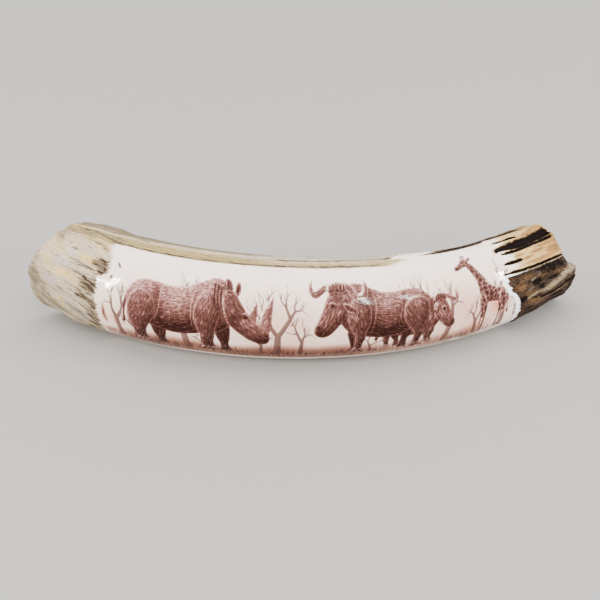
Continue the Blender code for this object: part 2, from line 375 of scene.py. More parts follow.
def smooth_path(points, closed):
    """A smooth curve through the points."""
    p = np.asarray(points, float)
    if closed:
        p = np.vstack([p[-1], p, p[:2]])
    else:
        p = np.vstack([2 * p[0] - p[1], p, 2 * p[-1] - p[-2]])
    t = np.linspace(0.0, 1.0, PATH_STEPS, endpoint=False)[:, None]
    pieces = []
    for a, b, c, d in zip(p[:-3], p[1:-2], p[2:-1], p[3:]):
        bend = (2 * a - 5 * b + 4 * c - d) * t ** 2 + (3 * b - a - 3 * c + d) * t ** 3
        pieces.append(0.5 * (2 * b + (c - a) * t + bend))
    path = np.vstack(pieces)
    return path if closed else np.vstack([path, p[-2]])


def to_path(places, path, closed):
    """Distance to the path, the unit vector away from it, and the share of its length passed there."""
    starts = path if closed else path[:-1]
    runs = (np.roll(path, -1, axis=0) if closed else path[1:]) - starts
    lengths = np.maximum(np.hypot(runs[:, 0], runs[:, 1]), 1e-6)
    before = np.concatenate([[0.0], np.cumsum(lengths)])
    distance = np.full(len(places), np.inf)
    away = np.zeros_like(places)
    along = np.zeros(len(places))
    for start, run, length, passed in zip(starts, runs, lengths, before):
        share = np.clip((places - start) @ run / length ** 2, 0.0, 1.0)
        gap = places - start - share[:, None] * run
        reach = np.hypot(gap[:, 0], gap[:, 1])
        nearer = reach < distance
        distance = np.where(nearer, reach, distance)
        away[nearer] = gap[nearer]
        along = np.where(nearer, passed + share * length, along)
    return distance, away / np.maximum(distance, 1e-9)[:, None], along / before[-1]


def inside(places, path):
    """Whether each place lies inside a closed path."""
    x, y = places.T
    within = np.zeros(len(places), bool)
    for (ax, ay), (bx, by) in zip(path, np.roll(path, -1, axis=0)):
        if ay != by:
            within ^= ((ay > y) != (by > y)) & (x < (bx - ax) * (y - ay) / (by - ay) + ax)
    return within


def turned(places, degrees):
    angle = math.radians(degrees)
    turn = np.array([[math.cos(angle), -math.sin(angle)], [math.sin(angle), math.cos(angle)]])
    return places @ turn


class Plate:
    """What the graver and the inks leave at each place. Tones run from 0, bare ivory, to 1, full ink.

    Forms are given as flat lists of x and y in their own millimetres, and drawn where the plate is set.
    """

    def __init__(self, places):
        self.places = places
        self.set(0.0, 0.0, 1.0)
        self.figure = np.full(len(places), FAR)  # distance outside the nearest animal, negative within it
        self.figure_tone = np.zeros(len(places))
        self.branch = np.full(len(places), FAR)  # the same for branches and grass
        self.branch_tone = np.zeros(len(places))
        self.wash = np.zeros(len(places))
        # a warm tint, partly painted shade towards the bottom of the panel
        self.tint_and_shade = np.zeros(len(places))
        self.pale = np.zeros(len(places))  # scratched lines
        self.stroke = places.copy()  # coordinates along and across the graver's strokes

    def set(self, x, y, scale, mirrored=False):
        self.at = np.array([x, y])
        self.scale = scale
        self.side = -1.0 if mirrored else 1.0
        return self

    def put(self, points, shift=0.0):
        return (np.reshape(points, (-1, 2)) + (shift, 0.0)) * self.scale * (self.side, 1.0) + self.at

    def around(self, path, margin):
        low, high = path.min(axis=0) - margin, path.max(axis=0) + margin
        return np.nonzero(((self.places >= low) & (self.places <= high)).all(axis=1))[0]

    def mass(self, points, tone, roundness, stroke, contrast=0.36, rim=0.45):
        """A closed dark form in slanting strokes, lit as if round, with a pale rim inside its outline."""
        path = smooth_path(self.put(points), True)
        near = self.around(path, INK_REACH + 2 * SOFT)
        distance, away, _ = to_path(self.places[near], path, True)
        within = inside(self.places[near], path)
        outside = np.where(within, -distance, distance)
        outward = np.where(within[:, None], -away, away)
        slope = (1.0 - np.clip(-outside / (roundness * self.scale), 0.0, 1.0)) ** 1.5
        shade = np.clip(tone - contrast * (outward @ DAYLIGHT) * slope, 0.0, 1.0)
        ink = blend(INK_REACH + SOFT, INK_REACH - SOFT, outside)
        self.figure_tone[near] += (shade - self.figure_tone[near]) * ink
        self.pale[near] *= 1.0 - blend(SOFT, -SOFT, outside)
        self.pale[near] += rim * ridge(outside + RIM_INSET, RIM_WIDTH)
        inked = near[ink > 0.5]
        self.stroke[inked] = turned(self.places[inked], stroke * self.side)
        self.figure[near] = np.minimum(self.figure[near], outside)

    def shade(self, x, y, reach, rise, change, turn=0.0):
        """Darkens or lightens the animals softly inside an oval."""
        middle = self.put([x, y])
        gap = turned(self.places - middle, turn * self.side) / (reach * self.scale, rise * self.scale)
        self.figure_tone = np.clip(self.figure_tone + change * ridge(gap, 1.0).prod(axis=1), 0.0, 1.0)

    def line(self, points, width, dark=0.0, pale=0.0, within=True, shift=0.0):
        """A stroke of ink or a pale scratch, thinner at its ends, kept within the animals."""
        path = smooth_path(self.put(points, shift), False)
        near = self.around(path, width + 4 * SOFT)
        distance, _, along = to_path(self.places[near], path, False)
        half = 0.5 * max(width, HAIRLINE) * (1.0 - 0.4 * (2.0 * np.abs(along - 0.5)) ** 2)
        ink = blend(half + 1.3 * SOFT, half - 0.9 * SOFT, distance)
        if within:
            ink = ink * blend(0.1, -0.4, self.figure[near])
        self.figure_tone[near] += np.maximum(dark - self.figure_tone[near], 0.0) * ink * (dark > 0)
        self.pale[near] = np.maximum(self.pale[near] * (1.0 - ink * (dark > 0)), pale * ink)

    def limb(self, start, end, wide, narrow, tone):
        """A tapering branch, a little darker on its shaded side."""
        path = np.array([start, end], float)
        near = self.around(path, wide + 1.5)
        distance, away, along = to_path(self.places[near], path, False)
        outside = distance - 0.5 * (wide + (narrow - wide) * along)
        nearer = outside < self.branch[near]
        chosen = near[nearer]
        self.branch[chosen] = outside[nearer]
        self.branch_tone[chosen] = tone - 0.10 * (away[nearer] @ DAYLIGHT)

    def mesh_of_patches(self, corner, far_corner, spacing, seed):
        """A giraffe's coat: dark patches parted by a pale net, between two corners."""
        rng = np.random.default_rng(seed)
        low = np.array(corner, float) - spacing
        count = np.ceil((np.array(far_corner) + spacing - low) / spacing).astype(int)
        cells = np.stack(np.meshgrid(np.arange(count[0]), np.arange(count[1])), axis=-1).reshape(-1, 2)
        seeds = low + (cells + rng.uniform(0.12, 0.88, cells.shape)) * spacing
        reach = (self.places >= corner) & (self.places <= far_corner)
        near = np.nonzero(reach.all(axis=1) & (self.figure < INK_REACH))[0]
        gaps = np.linalg.norm(self.places[near, None] - seeds[None], axis=2)
        gaps.sort(axis=1)
        patch = blend(0.30, 0.95, gaps[:, 1] - gaps[:, 0])
        self.figure_tone[near] = np.clip(self.figure_tone[near] - 0.16 + 0.42 * patch, 0.0, 1.0)


# ------------ the animals, each from its ground line up


def rhinoceros(on):
    """A white rhinoceros walking right with its head low, 81 mm from tail to horn before scaling."""
    # far hind leg
    on.mass([16, 17, 24, 17, 24.6, 9, 23.4, 4, 24.6, 0.3, 19, -0.2, 17.8, 0.6, 18.4, 4, 16.8, 9], 0.88, 4,
        80)
    # far fore leg
    on.mass([51, 18, 58, 17, 58.4, 10, 57.4, 5, 59, 0.8, 58.4, -0.1, 53.6, -0.3, 52.4, 0.8, 53, 5, 51, 11],
        0.88, 4, 80)
    # tail
    on.mass([3.2, 29, 1.8, 26, 0.6, 20, 0.4, 14.5, -0.6, 12, 0.6, 11.2, 1.6, 12.4, 1.6, 15, 2.2, 20, 4, 26],
        0.72, 1.5, 85, rim=0.25)
    # trunk
    on.mass([2.6, 24, 3.2, 29, 6.2, 33.2, 11, 35, 17, 34.6, 24, 33.4, 31, 33.2, 37, 34.6, 43, 37.2,
        48.5, 39.6, 53, 39.4, 57, 36.4, 61, 32, 63, 26, 61.5, 20, 57.5, 15.5, 53, 12.6, 47, 11.4, 40, 9.9,
        32, 8.9, 25, 9.6, 19, 11.5, 12, 13.5, 6, 16.5], 0.62, 12, 15, contrast=0.42)
    for oval in (
        (30, 25, 13, 6, -0.22, 5), (33, 13, 16, 3.5, 0.24, 0), (47, 27, 6, 9, -0.1, -10),
        (41, 20, 2.8, 9, 0.2, -8), (20.5, 22, 2.6, 9, 0.2, 8), (11, 29, 7, 4, -0.1, 0),
    ):
        on.shade(*oval)
    # haunch
    on.mass([5, 27, 8.5, 30, 14, 29, 18.6, 24.5, 19.4, 18, 16.2, 13.2, 13.6, 9.4, 12.8, 5.6, 13.8, 2.4,
        14.6, 0.6, 13.6, -0.2, 7.6, -0.4, 5.8, 0.6, 6.2, 3, 5.4, 7, 4.4, 11, 3.4, 16, 3.2, 22], 0.64, 6.5,
        60, rim=0.5)
    on.shade(10.5, 23, 4.4, 5, -0.16)
    on.shade(9, 4, 5, 4.5, 0.24)
    # shoulder
    on.mass([41.5, 28, 45, 32.5, 50, 31.5, 52.8, 26, 53, 19, 51.2, 14, 50.4, 9.5, 49.6, 5.6, 50.6, 2.6,
        51.4, 0.6, 50.2, -0.2, 44, -0.4, 42.2, 0.6, 43, 3, 42.8, 7, 42.4, 11, 40.4, 16, 39.6, 22], 0.64, 6.5,
        70, rim=0.5)
    on.shade(46.5, 26, 3.6, 5, -0.18)
    on.shade(46.5, 4, 4, 5, 0.22)
    # great horn
    on.mass([72.4, 16, 73.6, 20.5, 75.8, 26.5, 79.4, 31.8, 80.2, 32, 80.2, 28, 79.8, 23.5, 79.2, 18,
        77.9, 13, 75, 13.2], 0.4, 2.2, 65, contrast=0.5, rim=0.5)
    # small horn
    on.mass([67.8, 21, 69.2, 25.4, 71.4, 29, 72.2, 28.8, 72.4, 25.4, 72, 21, 71.4, 17.6, 69.2, 17.8], 0.44,
        1.8, 65, contrast=0.5, rim=0.5)
    # head
    on.mass([56.5, 34.6, 59.5, 33.6, 62.5, 30.6, 65.2, 26.6, 67.8, 22.8, 70.6, 19.6, 73.6, 17.4, 76.6, 15.6,
        78.2, 13, 78.4, 10, 77, 7.4, 74.2, 6.6, 70.8, 7.6, 67.2, 9.6, 63.4, 12.4, 59.6, 15.6, 56.6, 19.6,
        55.2, 25, 55, 30], 0.6, 6, -50, rim=0.45)
    on.shade(61, 20, 3.5, 5, 0.18, -45)
    on.shade(66, 18, 4.5, 2.6, -0.16, -45)
    on.shade(75, 9, 3.6, 2.2, 0.2)
    # near ear
    on.mass([57.2, 33.6, 55.6, 36.2, 55, 39.4, 56.2, 40.4, 58.4, 38.4, 59.6, 35.2, 59, 33.4], 0.68, 1.6, 80,
        rim=0.7)
    # far ear
    on.mass([60.6, 32.4, 60.4, 35.4, 61.4, 38.4, 62.8, 38.4, 63.6, 35.6, 63.2, 32.4, 62, 31.2], 0.68, 1.6,
        80, rim=0.7)
    on.line([57, 34.6, 56.4, 37, 56.4, 39], 0.7, dark=0.95)
    on.line([62, 33, 62, 35, 62.2, 37.2], 0.7, dark=0.95)
    on.line([65.9, 21.3, 66.5, 21.4, 67.1, 21.2], 1.5, dark=1)
    on.line([64.5, 22.7, 66.4, 23.3, 68.4, 21.9], 0.35, pale=0.75)
    on.line([75.6, 11.8, 76.6, 12.2, 77.2, 11.4], 0.9, dark=1)
    on.line([70.6, 9.6, 73.4, 9, 76.4, 9.4], 0.5, dark=0.98)
    for fold in (0, 1.7, 3.4):
        crease = [53.6 - fold, 35 + 0.5 * fold, 53.8 - fold, 28, 55.2 - 0.7 * fold, 22, 57 - 0.6 * fold, 17]
        on.line(crease, 0.7, dark=0.92)
        on.line(crease, 0.35, pale=0.7 - 0.12 * fold, shift=0.75)
    on.line([40.4, 33, 38.8, 27, 38.4, 20, 39.4, 13], 0.45, pale=0.65)
    on.line([21.8, 31, 21.6, 26, 20.6, 20, 18.6, 15], 0.45, pale=0.65)
    for rib in range(5):
        on.line([25.5, 28 - 0.2 * rib, 24.3, 22, 24.9, 16], 0.3, pale=0.34, shift=2.7 * rib)
    for toe in (6.3, 8.9, 11.5, 42.8, 45.6, 48.2):
        on.line([0, 0.2, 0.5, 1.6, 1.6, 1.5, 2.1, 0.2], 0.4, pale=0.85, shift=toe)


def buffalo(on, tone=0.66):
    """A Cape buffalo standing with its head to the left, 65 mm from nose to tail before scaling."""
    # far fore leg
    on.mass([18, 15, 26, 16, 24.8, 9, 23.6, 5, 24.2, 1, 23.4, 0, 19.4, 0, 18.8, 1, 19.6, 4.6, 18.6, 9],
        min(tone + 0.24, 0.95), 3, 85)
    # far hind leg
    on.mass([45, 17, 54, 17, 52.4, 10, 50.2, 6.5, 50.4, 1.2, 49.8, 0, 45.6, 0, 45, 1, 46, 5.5, 46.2, 10],
        min(tone + 0.24, 0.95), 3, 85)
    # tail
    on.mass([61, 30, 63.4, 27, 64.4, 20, 64.6, 13, 65.4, 9.5, 64.6, 8, 63.2, 9, 63.2, 13, 62.8, 20, 61, 26],
        0.75, 1.4, 88, rim=0.3)
    # trunk
    on.mass([62.6, 26, 61.4, 31, 57, 34.4, 51, 35.2, 44, 34.4, 37, 34.6, 30.5, 37.2, 25, 40, 20, 40.2,
        15.6, 37.4, 13.2, 32, 12.6, 26, 13.6, 20.5, 17, 15.6, 22, 12.2, 29, 10.6, 37, 9.6, 45, 10.6, 51, 13,
        57, 16.5, 61.5, 20], tone, 11, -15, contrast=0.42)
    for oval in (
        (38, 27, 10, 5, -0.2, -4), (38, 13, 14, 3.4, 0.22, 0), (30.5, 21, 2.6, 9, 0.2, 8),
        (47, 21, 2.4, 9, 0.18, -8), (56, 30, 5, 3, -0.1, 0),
    ):
        on.shade(*oval)
    # haunch
    on.mass([48.5, 26, 52, 30, 58, 30.4, 62, 27, 62.4, 21, 60.4, 16.4, 58.8, 12.6, 59.2, 9.6, 58.2, 6,
        57.6, 2.8, 58.6, 0.4, 57.6, -0.3, 53.2, -0.3, 52.6, 0.8, 53.6, 4, 53.6, 8, 53, 11, 50.2, 14.6,
        47.8, 19.6], tone, 5.5, -60, rim=0.5)
    on.shade(55.5, 25, 3.6, 4.2, -0.16)
    on.shade(55.6, 4, 3.4, 5, 0.24)
    # shoulder
    on.mass([18.5, 27, 21.5, 32, 26.8, 32, 30, 26.5, 30, 19.5, 27.8, 14.2, 27.2, 10, 26, 6, 25.8, 2.8,
        26.8, 0.4, 25.8, -0.3, 21.2, -0.3, 20.4, 0.8, 21.6, 4, 21.8, 8, 21.4, 12, 18.8, 17, 17.8, 22], tone,
        5.5, -75, rim=0.5)
    on.shade(24, 26.5, 3.2, 4.4, -0.18)
    on.shade(23.8, 4, 3.2, 5, 0.22)
    # head
    on.mass([14.6, 35.2, 11.4, 36.4, 8.2, 34.6, 6.2, 30.6, 4.6, 26, 2.6, 21.4, 1, 18, 0.4, 15, 1.8, 12.6,
        5, 11.6, 8.4, 12.8, 11.2, 15.6, 14, 18.8, 17.2, 22.4, 18.8, 27, 18.2, 32], tone - 0.04, 5.5, 60,
        rim=0.5)
    on.shade(11.5, 25, 4, 3, -0.18, 50)
    on.shade(3.2, 14.4, 3.2, 2.6, 0.26)
    on.shade(14.6, 20.6, 2.6, 4.2, 0.16, 40)
    # ear
    on.mass([15.6, 29.6, 18.4, 29.2, 22, 27, 23.6, 24.4, 22, 23.4, 19, 24.6, 16.2, 27], tone + 0.12, 1.8,
        -25, rim=0.7)
    for tuft in range(5):
        hair = [17.2, 26.4 - 0.4 * tuft, 17.9, 24.2 - 0.5 * tuft, 18.5, 22.4 - 0.4 * tuft]
        on.line(hair, 0.35, pale=0.6, within=False, shift=1.2 * tuft)
    # far horn
    on.mass([9.4, 40, 5.6, 39.8, 2.6, 37.6, 0.6, 36.6, -0.4, 39, -0.4, 42.6, -1.8, 40.6, -2.2, 36.8,
        -0.8, 33.4, 1.6, 32.4, 4.4, 34, 7.4, 36.4, 10.4, 37], 0.5, 1.8, 20, contrast=0.45, rim=0.6)
    # near horn
    on.mass([13, 38.6, 17.4, 36.6, 19.6, 33.2, 22.2, 30, 25.4, 29.2, 28.2, 31.4, 29.2, 35.6, 28.6, 39.8,
        27, 42.2, 26.6, 38.6, 25.8, 35.2, 24.2, 34.2, 22.6, 36, 20, 39.6, 15.6, 41.4], 0.46, 2.2, -20,
        contrast=0.5, rim=0.6)
    # boss of the horns
    on.mass([7.4, 36, 7.6, 39.2, 10.4, 41.4, 14.2, 41.6, 17.4, 39.6, 17.8, 36.4, 15, 34.6, 12, 35.4,
        9.6, 34.6], 0.46, 3.4, 80, contrast=0.45, rim=0.6)
    for furrow in range(5):
        top = 39.9 - 0.14 * (furrow - 2) ** 2
        on.line([8.9, top, 9.1, 37.8, 8.9, 35.8], 0.5, dark=0.85, shift=1.8 * furrow)
    on.line([9.5, 28.3, 10.1, 28.4, 10.7, 28.2], 1.5, dark=1)
    on.line([8.2, 29.7, 10.2, 30.4, 12.2, 29.1], 0.35, pale=0.75)
    on.line([1.5, 17.3, 2.6, 17.9, 3.1, 16.5], 1, dark=1)
    on.line([1.2, 14.2, 4.2, 13.8, 7, 15], 0.5, dark=1)
    on.line([4.8, 25, 6.6, 21.2, 6.4, 17.6], 0.35, pale=0.55)
    on.line([13, 20, 12.6, 23.6, 14.4, 27], 0.35, pale=0.55)
    for fold in (0, 2.2, 4.4):
        on.line([19 + fold, 36 - 0.2 * fold, 19.4 + 0.7 * fold, 30 - fold, 17.6 + 0.6 * fold, 22 - fold,
            15.8 + fold, 18 - 0.7 * fold], 0.35, pale=0.42)
    on.line([31.4, 35, 32.6, 29, 32.2, 21, 30.4, 14], 0.45, pale=0.6)
    on.line([46.4, 31, 46.8, 26, 46, 20, 48, 15], 0.45, pale=0.6)
    for rib in range(5):
        on.line([35, 29, 36, 22, 35.4, 15.5], 0.3, pale=0.3, shift=2.3 * rib)
    for hoof in (20.9, 23.6, 53.2, 55.6):
        on.line([0, 0.2, 0.8, 2.2, 1.8, 1.8, 2.2, 0.2], 0.35, pale=0.75, shift=hoof)


def giraffe(on):
    """A giraffe browsing with its head to the left, 57 mm tall before scaling."""
    # far fore leg
    on.mass([15.4, 24, 19.4, 24, 18.9, 16, 18.4, 12, 18.5, 6, 18.9, 0.9, 18.3, 0, 16.9, 0, 16.8, 6, 17.1, 12,
        16.6, 17], 0.62, 2, 88, rim=0.25)
    # far hind leg
    on.mass([28, 24, 32.4, 23, 31, 16, 30, 12.4, 29.9, 6, 30.3, 0.9, 29.7, 0, 28.3, 0, 28.4, 6, 28.6, 12,
        28.4, 17], 0.62, 2, 88, rim=0.25)
    # tail
    on.mass([34.6, 28, 36.4, 25, 36.8, 20, 36.5, 15.6, 37.3, 11.4, 36.3, 10.6, 35.4, 12, 35.8, 16, 35.9, 20,
        34.2, 24], 0.7, 1.2, 88, rim=0.3)
    # trunk
    on.mass([35, 22.8, 35.2, 26.4, 33, 29.4, 29.4, 31, 25.2, 32.2, 21.6, 34.8, 18.4, 39.2, 15.6, 44,
        13.2, 48.8, 11.2, 52.2, 8.8, 53.2, 7.8, 51.4, 9, 48.2, 11, 43.6, 12.8, 38.6, 13.8, 33.6, 14, 29,
        15.2, 25.2, 18.6, 22.6, 24, 22.2, 29, 21.6, 33, 21.2], 0.5, 5.5, 35, contrast=0.3, rim=0.4)
    # near fore leg
    on.mass([14.4, 27.5, 17.6, 28, 19.2, 24, 18, 19, 17, 14.6, 16.9, 12.4, 16.3, 11, 16, 6, 16.5, 0.9,
        16, -0.2, 14.1, -0.2, 13.9, 0.9, 14.5, 6, 14.5, 11, 14.3, 13, 14.6, 17, 13.9, 22], 0.48, 2.6, 85,
        contrast=0.28, rim=0.5)
    # near hind leg
    on.mass([30, 27.5, 33.6, 28.2, 35.4, 24, 34.6, 19.6, 33.6, 15.6, 34.3, 13.2, 33.4, 11, 32.8, 6,
        33.3, 0.9, 32.8, -0.2, 30.9, -0.2, 30.7, 0.9, 31.4, 6, 31.6, 11, 31.9, 13.6, 30.4, 17.6, 29.2, 22],
        0.48, 2.8, 85, contrast=0.28, rim=0.5)
    # head
    on.mass([12.2, 53.4, 10.6, 55.2, 8, 55.2, 5.8, 53.4, 3.2, 51.2, 0.8, 49.6, 0, 47.8, 0.9, 46.6, 3.4, 46.9,
        6.4, 48.2, 9.4, 48.9, 11.8, 50.4], 0.46, 2.4, 35, contrast=0.3, rim=0.5)
    low, high = on.put([(7, 13), (35.6, 52)])
    on.mesh_of_patches(low, high, 3.4 * on.scale, seed=5)
    # ear
    on.mass([11.4, 53.6, 13.4, 55.6, 15.4, 55.2, 14.6, 53.4, 12.6, 52.4], 0.55, 1, 20, rim=0.5)
    for x in (8.6, 10.4):
        horn = on.put([(x, 54.6), (x + 0.8, 57.4)])
        on.limb(horn[0], horn[1], 1 * on.scale, 0.8 * on.scale, 0.75)
        on.limb(horn[1], horn[1] + (0.1, 0.3), 1.5 * on.scale, 1.4 * on.scale, 0.95)
    mane = on.put([(19.9, 37.3), (17.4, 41.4), (15, 45.9), (12.9, 50.4)])
    for start, end in zip(mane[:-1], mane[1:]):
        on.limb(start, end, 1.2 * on.scale, 1.1 * on.scale, 0.78)
    on.line([7.5, 52.3, 7.9, 52.4, 8.3, 52.2], 1.1, dark=1)
    on.line([1.2, 48.8, 1.8, 49, 2, 48.4], 0.7, dark=1)
    on.line([0.8, 47.6, 2.6, 48, 4.2, 48.8], 0.4, dark=0.9)
    on.line([15.2, 31, 17.4, 27, 18.8, 23], 0.35, pale=0.5)
    on.line([29.4, 29, 28.8, 25, 29.6, 20], 0.35, pale=0.5)


# ------------ the bush round them


def grow(plate, rng, base, tips, wide, tone):
    """A branch from a base that forks until each tip has a twig of its own."""
    if len(tips) == 1:
        bend = base + 0.55 * (tips[0] - base) + rng.normal(0.0, 0.08, 2) * np.linalg.norm(tips[0] - base)
        plate.limb(base, bend, wide, 0.75 * wide, tone)
        plate.limb(bend, tips[0], 0.75 * wide, 0.35, tone - 0.06)
        return
    reach = tips.mean(axis=0) - base
    fork = base + rng.uniform(0.30, 0.46) * reach + rng.normal(0.0, 0.07, 2) * np.linalg.norm(reach)
    narrow = max(0.78 * wide, 0.6)
    plate.limb(base, fork, wide, narrow, tone)
    parting = int(np.clip(len(tips) // 2 + rng.integers(-1, 2), 1, len(tips) - 1))
    for group in (tips[:parting], tips[parting:]):
        share = math.sqrt(len(group) / len(tips))
        grow(plate, rng, fork, group, max(narrow * (0.3 + 0.7 * share), 0.6), tone)


def tree(plate, foot, height, spread, tips, seed, tone):
    """A bare thorn tree or bush, its twigs ending in a crown that falls away at its sides."""
    rng = np.random.default_rng(seed)
    lean = np.linspace(-1.0, 1.0, tips)
    reach = height * (1.0 - CROWN_FALL * lean ** 2) * rng.uniform(0.76, 1.0, tips)
    base = np.array(foot, float)
    grow(plate, rng, base, base + np.stack([lean * spread, reach], axis=1), 0.078 * height + 0.7, tone)


def grass(plate, first, last, height, count, seed, tone=0.62):
    """Tufts of fine blades on the ground line."""
    rng = np.random.default_rng(seed)
    for x in rng.uniform(first, last, count):
        lean = rng.normal(0.0, 0.25)
        tall = height * rng.uniform(0.35, 1.0)
        plate.limb((x, -1.0), (x + lean * tall, tall), 0.55, 0.25, tone * rng.uniform(0.7, 1.0))


def tinted(places, ovals):
    """The strongest of soft oval tints at each place: middle, half length, half height and strength."""
    tint = np.zeros(len(places))
    for x, y, reach, rise, amount in ovals:
        gap = (places - (x, y)) / (reach, rise)
        tint = np.maximum(tint, amount * ridge(gap, 1.0).prod(axis=1))
    return tint


PICTURE_ENDS = (-116.0, -92.0, 128.0, 152.0)  # where the ground's wash sets in and runs out
INK_SMEARS = (
    (-106.2, 18, 1.0, 4.4, 1.0), (-105.2, 14, 0.9, 2.8, 0.6), (-98, 16, 1.2, 5.0, 0.22),
    (-92, 15, 1.4, 4.5, 0.20), (-103, 3.5, 7, 3.2, 0.5),
)
# Warm tints multiplied over the lower part of the panel: partly a blush of the ivory, partly painted shade
# darkening it towards the bottom.
LOW_TINTS_AND_SHADE = (
    (-98, 16, 10, 8, 0.55), (-60, 8, 30, 9, 0.45), (12, 12, 18, 12, 0.5), (112, 14, 14, 16, 0.55),
    (152, 22, 11, 13, 1.0), (138, 8, 18, 9, 0.8), (60, 8, 36, 9, 0.40), (-80, 18, 42, 20, 0.42),
    (5, 22, 36, 20, 0.55), (75, 22, 44, 20, 0.50), (125, 24, 34, 20, 0.60),
)
TREES = (  # foot, height, half width of the crown, twigs, seed and tone
    ((-96, 3), 42, 11, 18, 3, 0.60), ((-86, 2), 26, 9, 12, 5, 0.58), ((-50, 2), 52, 17, 17, 25, 0.56),
    ((6, 1), 52, 20, 22, 8, 0.60), ((20, 1), 28, 9, 13, 9, 0.62), ((-4, 1), 20, 9, 12, 31, 0.60),
    ((64, 2), 16, 10, 12, 33, 0.6), ((92, 1), 53, 15, 18, 44, 0.56), ((113, 1), 46, 13, 18, 21, 0.56),
    ((136, 1), 30, 10, 14, 34, 0.58), ((-40, 1), 14, 9, 10, 37, 0.6), ((157, 2), 52, 14, 20, 12, 0.58),
    ((169, 5), 34, 8, 14, 36, 0.56),
)
INK_MARKS = (((-97.3, 47.6), (-99.3, 50.0), 1.5, 1.1), ((-102.0, 40.6), (-101.6, 41.2), 1.9, 1.7))


def washes(plate):
    """The rust-coloured ground, smears of ink, and a faint warm tint on the bare ivory that also paints shade
    on its lower part.
    """
    along, up = plate.places.T
    roll = 0.8 * np.sin(along / 17.0) + 0.5 * np.sin(along / 7.3 + 1.0)
    strength = 0.76 + 0.06 * np.sin(along / 11.0 + 2.0)
    strength = strength - 0.32 * blend(40.0, 75.0, along) - 0.14 * blend(-70.0, -90.0, along)
    ground = strength * window(up, -6.8, -5.2, 0.5 + roll, 10.5 + roll) * window(along, *PICTURE_ENDS)
    plate.wash = np.maximum(ground, tinted(plate.places, INK_SMEARS))
    plate.tint_and_shade = tinted(plate.places, LOW_TINTS_AND_SHADE)


def engrave(plate):
    """The whole picture: a rhinoceros, two buffaloes and a giraffe among thorn trees."""
    washes(plate)
    for mark in INK_MARKS:
        plate.limb(*mark, tone=0.8)
    for settings in TREES:
        tree(plate, *settings)
    grass(plate, -110, 160, 6.0, 200, seed=41)
    buffalo(plate.set(119, 3, 0.82, mirrored=True), tone=0.58)
    rhinoceros(plate.set(-92, 1, 1.20))
    buffalo(plate.set(28, 1, 1.17))
    giraffe(plate.set(123, 1, 1.02))
    grass(plate, -110, 160, 2.6, 140, seed=43, tone=0.85)


# ------------ stains of the natural skin


def root_twist(side):
    """Degrees that the root's fibres climb a mm towards the tip; low on the outer side they fall faster."""
    return -0.28 - 0.60 * window(side, -130.0, -75.0, -15.0, 28.0)


def stained(stations, angles, ovals, twist=None):
    """The strongest of long soft ovals. They climb by twist degrees a mm, or as the root's fibres do."""
    amount = np.zeros(stations.shape)
    for middle, angle, half_length, half_width, strength in ovals:
        along = stations / MM - middle
        climb = root_twist(angle) if twist is None else twist
        across = turn_from(angles - climb * along, angle) / half_width
        amount = np.maximum(amount, strength * ridge(along, half_length) * ridge(across, 1.0))
    return amount


# Each oval: station in mm, angle, half length in mm, half width in degrees, and strength.
# Most are stained fibres. The ovals at -150, 9 and -144, 0 paint the shade along the edge of the root's cut,
# and the one at -139.5, 62 paints the shadow in its notch.
OLIVE_FIBRES_AND_SHADE = (
    (-102, 43, 5.5, 4.5, 1), (-107, 16, 6.5, 6, 1.05), (-111, 4, 6, 4, 0.85), (-104.5, -6, 4, 5, 0.75),
    (-105, -17, 4, 8, 0.65), (-106, -34, 4, 8, 0.75), (-112, -48, 9, 10, 0.6), (-118, -15, 8, 5, 0.7),
    (-126, 3, 8, 1.6, 0.85), (-121, 60.5, 3, 1.6, 0.6), (-122, 53, 3, 1.6, 0.8), (-101, 62, 4, 1.6, 1.1),
    (-132, 37, 2.5, 2, 0.5), (-137, 16, 3, 2, 0.5), (-139.5, 62, 5, 5, 0.45), (-113.5, 27, 6, 1.6, 0.95),
    (-116, 39, 9, 1.6, 0.8), (-110, 68, 14, 1.6, 0.85), (-118, 74, 14, 1.6, 0.8), (-126, 82, 16, 2, 0.85),
    (-150, 9, 5, 2.5, 0.9), (-144, 0, 5, 3.5, 0.85), (-132, -4, 5, 2, 0.7), (-120, 12, 7, 1.5, 0.8),
    (-114, -8, 6, 1.6, 0.8),
)
UMBER_FIBRES = (
    (-112, 35.2, 4, 1, 1), (-106, 35.6, 4, 1.1, 1.1), (-99.5, 34.6, 3, 1.5, 1.3),
    (-96.8, 38.5, 1.4, 2.6, 1.2), (-101, 48.5, 4.5, 1.1, 1), (-98, 45.5, 3, 1.1, 0.95),
    (-103, 41.5, 5, 1, 0.85), (-100, 38.5, 4, 1, 0.85), (-109.5, 24.8, 1.8, 1.8, 1.3),
    (-106.5, 22, 4, 1.1, 1), (-103, 19.5, 3, 1.4, 1.2), (-110, 18, 4, 1.1, 0.95), (-106.5, 17, 4, 1.2, 1.1),
    (-104, 13.5, 3.5, 1.4, 1.2), (-109, 12.5, 3.5, 1.1, 1), (-112, 9, 3.5, 1, 0.85), (-107, 8, 3, 1.1, 0.95),
    (-113, 2.8, 2.6, 1.5, 1.2), (-107.5, 0, 3.5, 1.3, 1.1), (-104, -2, 2.4, 1.5, 1.2),
    (-109, 4.5, 3, 1.1, 0.95), (-103.5, -9, 2.2, 1.5, 1.1), (-106, -13, 2.6, 1.3, 0.75),
    (-103, -17, 2.4, 1.5, 0.9), (-106.5, -22, 2.6, 1.4, 0.75), (-104, -26, 2.6, 1.6, 1.1),
    (-106, -33, 3, 1.7, 0.9), (-109, -42, 3.5, 2, 1), (-111, -56, 3, 3, 1), (-122.3, 53, 1.6, 1.3, 0.4),
    (-128, -12.5, 1.8, 1.4, 0.9), (-124, -13.5, 2.4, 1, 0.8), (-118, 6, 3, 1, 0.85), (-100, 170, 9, 4, 0.9),
)
